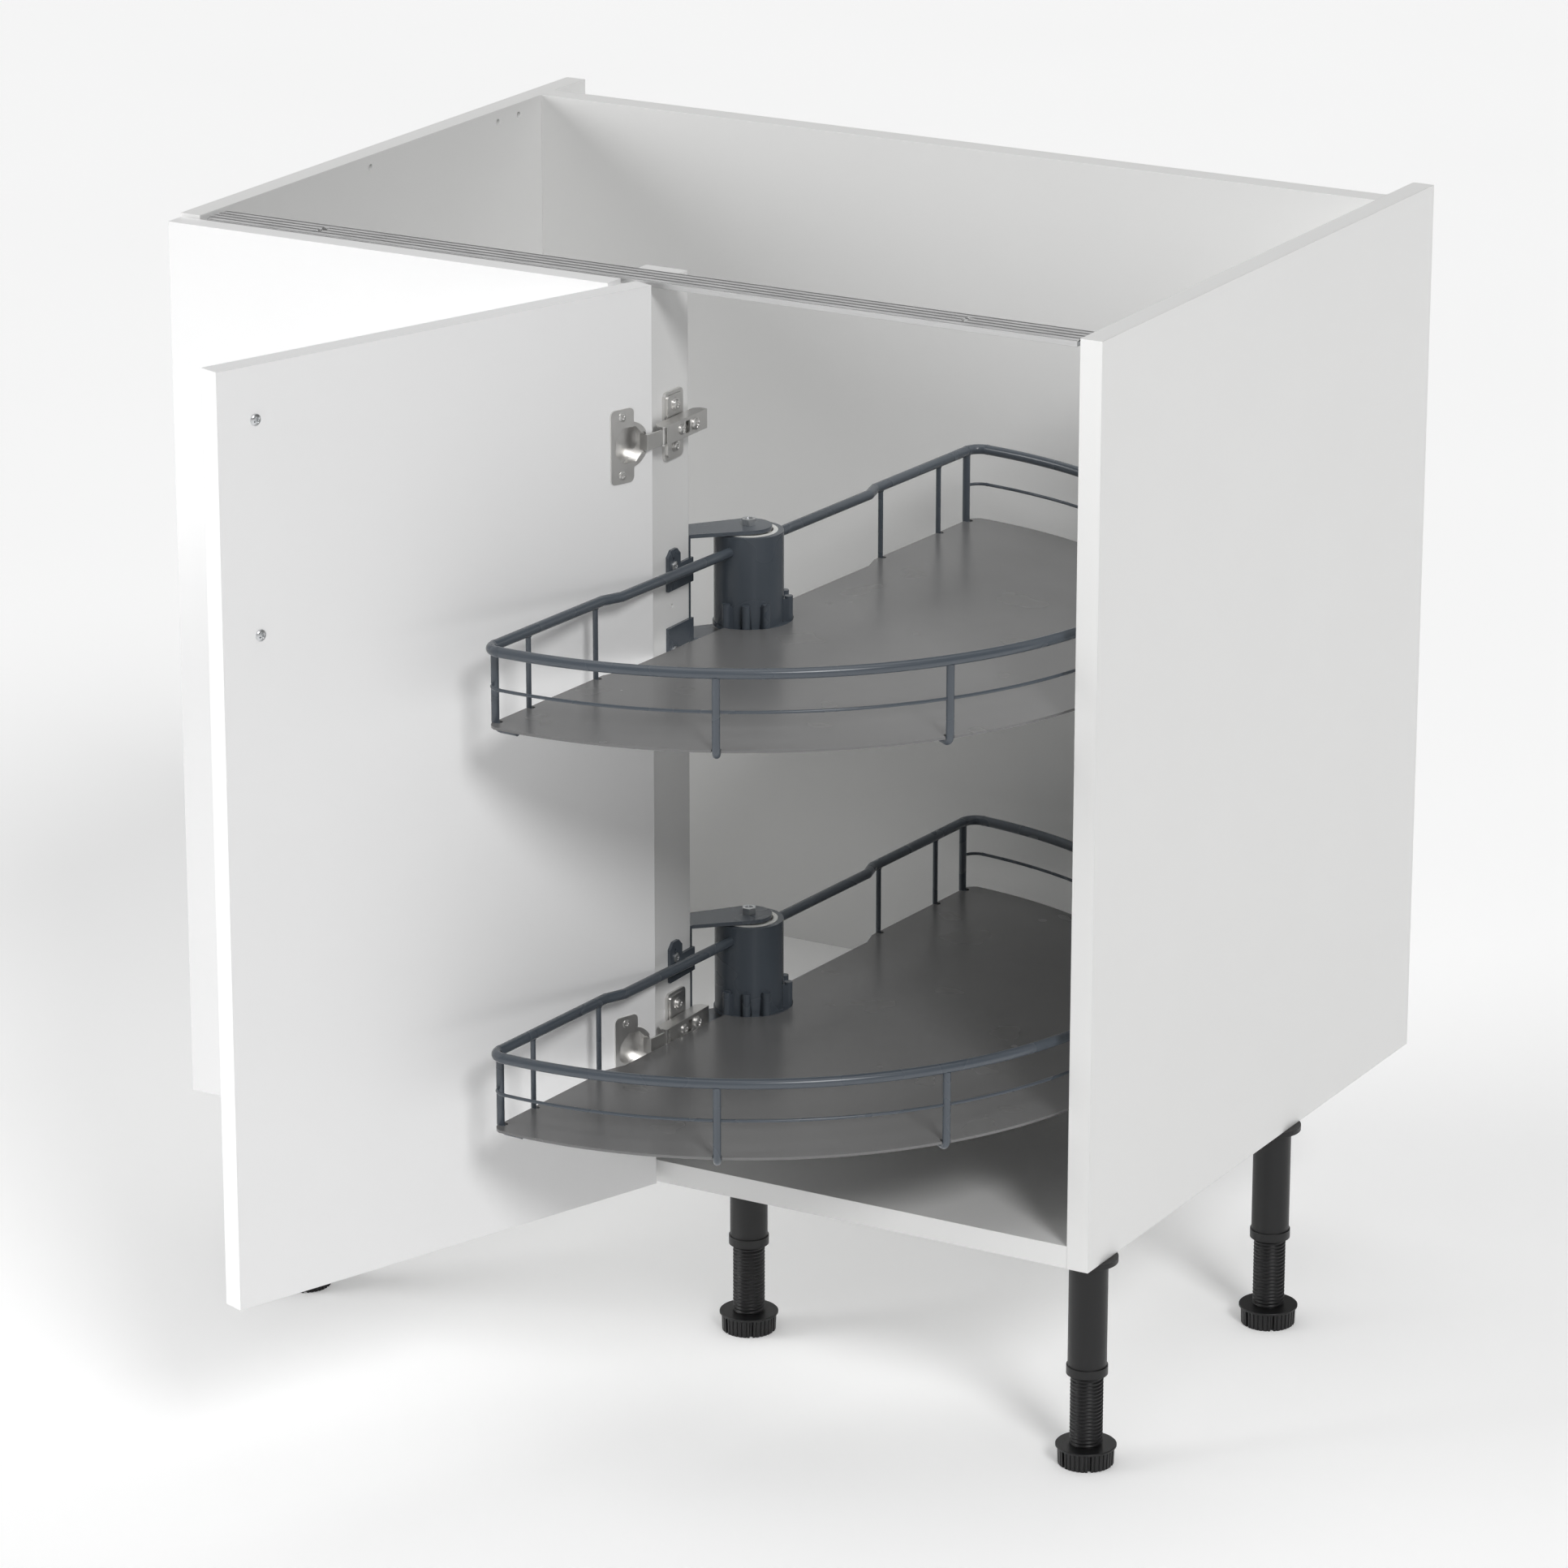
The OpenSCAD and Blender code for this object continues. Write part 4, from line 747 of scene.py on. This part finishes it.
# %% Bracket screws
RIGHTWARDS = (1, 0, 0)
BRACKET_LEVELS = (0.240, 0.343, 0.591, 0.658)
bracket_screw = screw_surface(0.0037, 0.0022, 0.002, 0.012, 0.0014)
piece = piece_from(
    "pan_head_bracket_screws",
    [
        set_screw(bracket_screw, (0.0205, 0.0365, z), RIGHTWARDS, 0.3 + i)
        for i, z in enumerate(BRACKET_LEVELS)
    ],
    zinc_bright,
    "carcass",
)
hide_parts("bracket_screws")

# %% Screws of the hinge cups
CUP_SCREW_OFFSET = 0.0225
hinge_levels = [
    (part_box(cup)[0].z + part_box(cup)[1].z) / 2
    for cup in ("lower_hinge_cup", "upper_hinge_cup")
]
cup_screw = screw_surface(0.0034, 0.0008, 0.0015, 0.012, 0.0007)
seats = [
    on_open_door(0.0315, -0.0008, z + d)
    for z in hinge_levels
    for d in (-CUP_SCREW_OFFSET, CUP_SCREW_OFFSET)
]
piece = piece_from(
    "cross_slot_cup_screws",
    [set_screw(cup_screw, seat, INTO_CABINET, 0.7 + i) for i, seat in enumerate(seats)],
    hinge_nickel,
    "door",
)
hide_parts("hinge_cup_screws")

# %% Screws of the hinge plates and arms
PLATE_SCREW_OFFSET = 0.016
ARM_FACE_X = 0.033
plate_screw = screw_surface(0.00375, 0.0022, 0.002, 0.016, 0.0013, (0.005, 0.0008))
arm_screw = screw_surface(0.004, 0.0022, 0.002, 0.011, 0.0014)
clamp_screw = screw_surface(0.0047, 0.0030, 0.002, 0.011, 0.0018)
plate_screws = [
    set_screw(plate_screw, (0.0225, 0.037, z + d), RIGHTWARDS, 0.4 + z + d)
    for z in hinge_levels
    for d in (-PLATE_SCREW_OFFSET, PLATE_SCREW_OFFSET)
]
arm_screws = [
    set_screw(arm_screw, (ARM_FACE_X, 0.0275, z), RIGHTWARDS, 0.4 + z)
    for z in hinge_levels
]
arm_screws += [
    set_screw(clamp_screw, (ARM_FACE_X, 0.047, z), RIGHTWARDS, 1.1)
    for z in hinge_levels
]
for name, screws in (("plate", plate_screws), ("arm", arm_screws)):
    piece = piece_from(
        "cross_slot_" + name + "_screws",
        screws,
        hinge_nickel,
        "carcass",
    )
    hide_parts("hinge_" + name + "_screws")

# %% [markdown]
# ## Weld collars under the rail
#
# Each wire post is projection-welded to the rail above it, which leaves a small
# smooth collar of metal under the powder coat. A Bevel modifier can't round this
# meeting, because post and rail are separate skins, so the collar is a turned profile
# that flares from the post's radius to a little more just under the rail.

# %% Collar surface
COLLAR_H, FLARE = 0.0012, 0.0005
COLLAR_SIDES = 28


def collar_surface(post_r, top):
    """Turned collar: the radius grows from the post's by half a millimetre over 1.2 mm,
    as one less a quarter cosine, and goes up into the rail."""
    turn = np.linspace(0, 2 * np.pi, COLLAR_SIDES, endpoint=False)
    t = np.linspace(0, 1, 7)
    r = post_r + 0.00005 + FLARE * (1 - np.cos(t * np.pi / 2))
    r = np.concatenate([[0], r, [post_r * 0.7, 0]])[:, None]
    h = np.concatenate([[-COLLAR_H], -COLLAR_H + COLLAR_H * t, [0.0010, 0.0010]]) + top
    return np.stack(
        [r * np.cos(turn), r * np.sin(turn), h[:, None] + 0 * turn], -1
    )


print("a collar is", COLLAR_H * MM_PER_M, "mm high")

# %% [markdown]
# The posts' places are given in a shelf's own axes: u from its straight side out to
# the arc, and s along the straight side. One function turns these by the few degrees
# that the shelves stand askew, and moves them to the hub.

# %% Places of the posts
HUB = np.array([0.042, 0.112])
TILT = math.radians(-4)
ARC_R, RAIL_H, RAIL_R = 0.334, 0.058, 0.004
STRAIGHT_U, CORNER_R = -0.006, 0.322
CORNER_S = math.sqrt(CORNER_R**2 - STRAIGHT_U**2)


def on_shelf(u, s):
    """A place in a shelf's own axes, turned by the tilt and moved to the hub."""
    x = HUB[0] + u * math.cos(TILT) - s * math.sin(TILT)
    y = HUB[1] + u * math.sin(TILT) + s * math.cos(TILT)
    return np.array([x, y, 0])


stout = [
    (ARC_R * math.cos(a), ARC_R * math.sin(a))
    for a in np.radians([-60, -30, 0, 30, 60])
]
stout += [(STRAIGHT_U, side * CORNER_S) for side in (-1, 1)]
thin = [(STRAIGHT_U, side * s) for side in (-1, 1) for s in (0.195, 0.280)]
print(len(stout), "stout and", len(thin), "thin posts on each shelf")

# %% Collars on both shelves
STOUT_R, THIN_R = 0.003, 0.002
for name, level in (("upper", 0.601), ("lower", 0.286)):
    collars = []
    for radius, posts in ((STOUT_R, stout), (THIN_R, thin)):
        # The rail's underside at this radius from the post's axis
        under = RAIL_H - math.sqrt(RAIL_R**2 - radius**2) - 0.0003
        collar = collar_surface(radius, level + under)
        collars += [collar + on_shelf(u, s) for u, s in posts]
    piece_from(
        name + "_post_weld_collars",
        collars,
        slate_coat,
        name + "_shelf",
        60,
    )

# %% [markdown]
# ## Floor
#
# The photograph was taken against white and cut out. A floor that only reflects light
# goes grey away from the lamps, so this one also glows a little of its own, as a
# product table lit from below does, and stays white round the feet.

# %% Floor
FLOOR_HALF = 30.0
floor_mat, tree, shader = new_material("pale_studio_floor")
dust = add(
    tree,
    "TexNoise",
    {"Scale": 1 / 700.0, "Detail": 2.0},
    {"Vector": (millimetres(tree), 0)},
)
tone = add(
    tree,
    "Mix",
    {6: linear("#fafafa"), 7: linear("#fdfdfd")},
    {0: (dust, "Fac")},
    data_type="RGBA",
)
tree.links.new(tone.outputs[2], shader.inputs["Base Color"])
shader.inputs["Roughness"].default_value = 0.9
shader.inputs["Specular IOR Level"].default_value = 0.1
shader.inputs["Emission Color"].default_value = (1.0, 1.0, 1.0, 1.0)
shader.inputs["Emission Strength"].default_value = 0.12
mesh = bpy.data.meshes.new("studio_floor")
signs = ((-1, -1), (1, -1), (1, 1), (-1, 1))
corners = [(x * FLOOR_HALF, y * FLOOR_HALF, 0) for x, y in signs]
mesh.from_pydata(corners, [], [(0, 1, 2, 3)])
mesh.materials.append(floor_mat)
studio_floor = bpy.data.objects.new("studio_floor", mesh)
bpy.context.scene.collection.objects.link(studio_floor)
print("floor", 2 * FLOOR_HALF, "m wide")

# %% [markdown]
# ## Light
#
# Three soft lights are enough. A broad one from the front left makes the fronts
# nearly white, a smaller one from the front right draws the shelves' shadows on the
# open door, and one overhead lights the edges and the floor. A dim dome, a little
# brighter towards the top, fills the shade. Area lamps could stand where a studio's
# panels stand, but their light falls off with distance. A distant lamp that fills a
# wide angle is as soft, and lights the whole floor evenly.

# %% Dome
world = bpy.data.worlds.new("studio_dome")
bpy.context.scene.world = world
world.use_nodes = True
tree = world.node_tree
dome = add(tree, "SeparateXYZ", None, {0: (add(tree, "TexCoord"), "Generated")})
level = add(
    tree,
    "MapRange",
    {"From Min": 0.0, "From Max": 1.0, "To Min": 0.05, "To Max": 0.24},
    {"Value": (dome, "Z")},
)
# Rays that come straight from the camera find a pale wall behind the floor. All other
# rays, and so the light on the cabinet and its reflections, find the dim dome.
seen = add(
    tree,
    "MapRange",
    {"From Min": 0.0, "From Max": 1.0, "To Max": 0.92},
    {
        "Value": (add(tree, "LightPath"), "Is Camera Ray"),
        "To Min": (level, "Result"),
    },
)
sky = tree.nodes["Background"]
sky.inputs["Color"].default_value = (1.0, 1.0, 1.0, 1.0)
tree.links.new(seen.outputs["Result"], sky.inputs["Strength"])
print("dome of", len(tree.nodes), "nodes")


# %% Three soft lights
def broad_light(name, towards, strength, spread_deg):
    """A distant soft light. towards points from the cabinet to the light, and the
    spread is the angle that the light fills when seen from the cabinet."""
    lamp = bpy.data.lights.new(name, "SUN")
    lamp.energy = strength
    lamp.angle = math.radians(spread_deg)
    obj = bpy.data.objects.new(name, lamp)
    obj.rotation_euler = Vector(towards).to_track_quat("Z", "Y").to_euler()
    obj.location = Vector(towards).normalized() * 5
    bpy.context.scene.collection.objects.link(obj)
    print(name, "of strength", strength, "fills", spread_deg, "degrees")


broad_light("left_panel", (-0.80, -0.52, 0.30), 1.75, 34)
broad_light("right_panel", (0.62, -0.51, 0.59), 1.15, 15)
broad_light("overhead_panel", (0.0, 0.05, 1.0), 0.85, 60)

# %% [markdown]
# ## Camera
#
# The camera has a long lens and looks down at about 18 degrees, from the right. The
# photograph's upright edges are parallel, which a shifted lens gives. The shift would
# have to be so large that the cabinet leaves the picture when the camera goes
# elsewhere, so this camera has none, and the edges converge a little.

# %% Camera
LOOK_DOWN, ROLL, LOOK_LEFT = 18.21, -0.045, 29.773
cam = bpy.data.cameras.new("camera")
cam.sensor_width = 36.0
cam.lens = 153.63
cam.clip_end = 100.0
camera = bpy.data.objects.new("camera", cam)
camera.location = (2.511, -4.1517, 2.0867)
camera.rotation_euler = (
    math.radians(90 - LOOK_DOWN),
    math.radians(ROLL),
    math.radians(LOOK_LEFT),
)
bpy.context.scene.collection.objects.link(camera)
bpy.context.scene.camera = camera
# The Standard view shows a white surface as white, without a film's soft shoulder
bpy.context.scene.view_settings.view_transform = "Standard"
print("camera of", round(cam.lens, 2), "mm, shift", cam.shift_x, cam.shift_y)
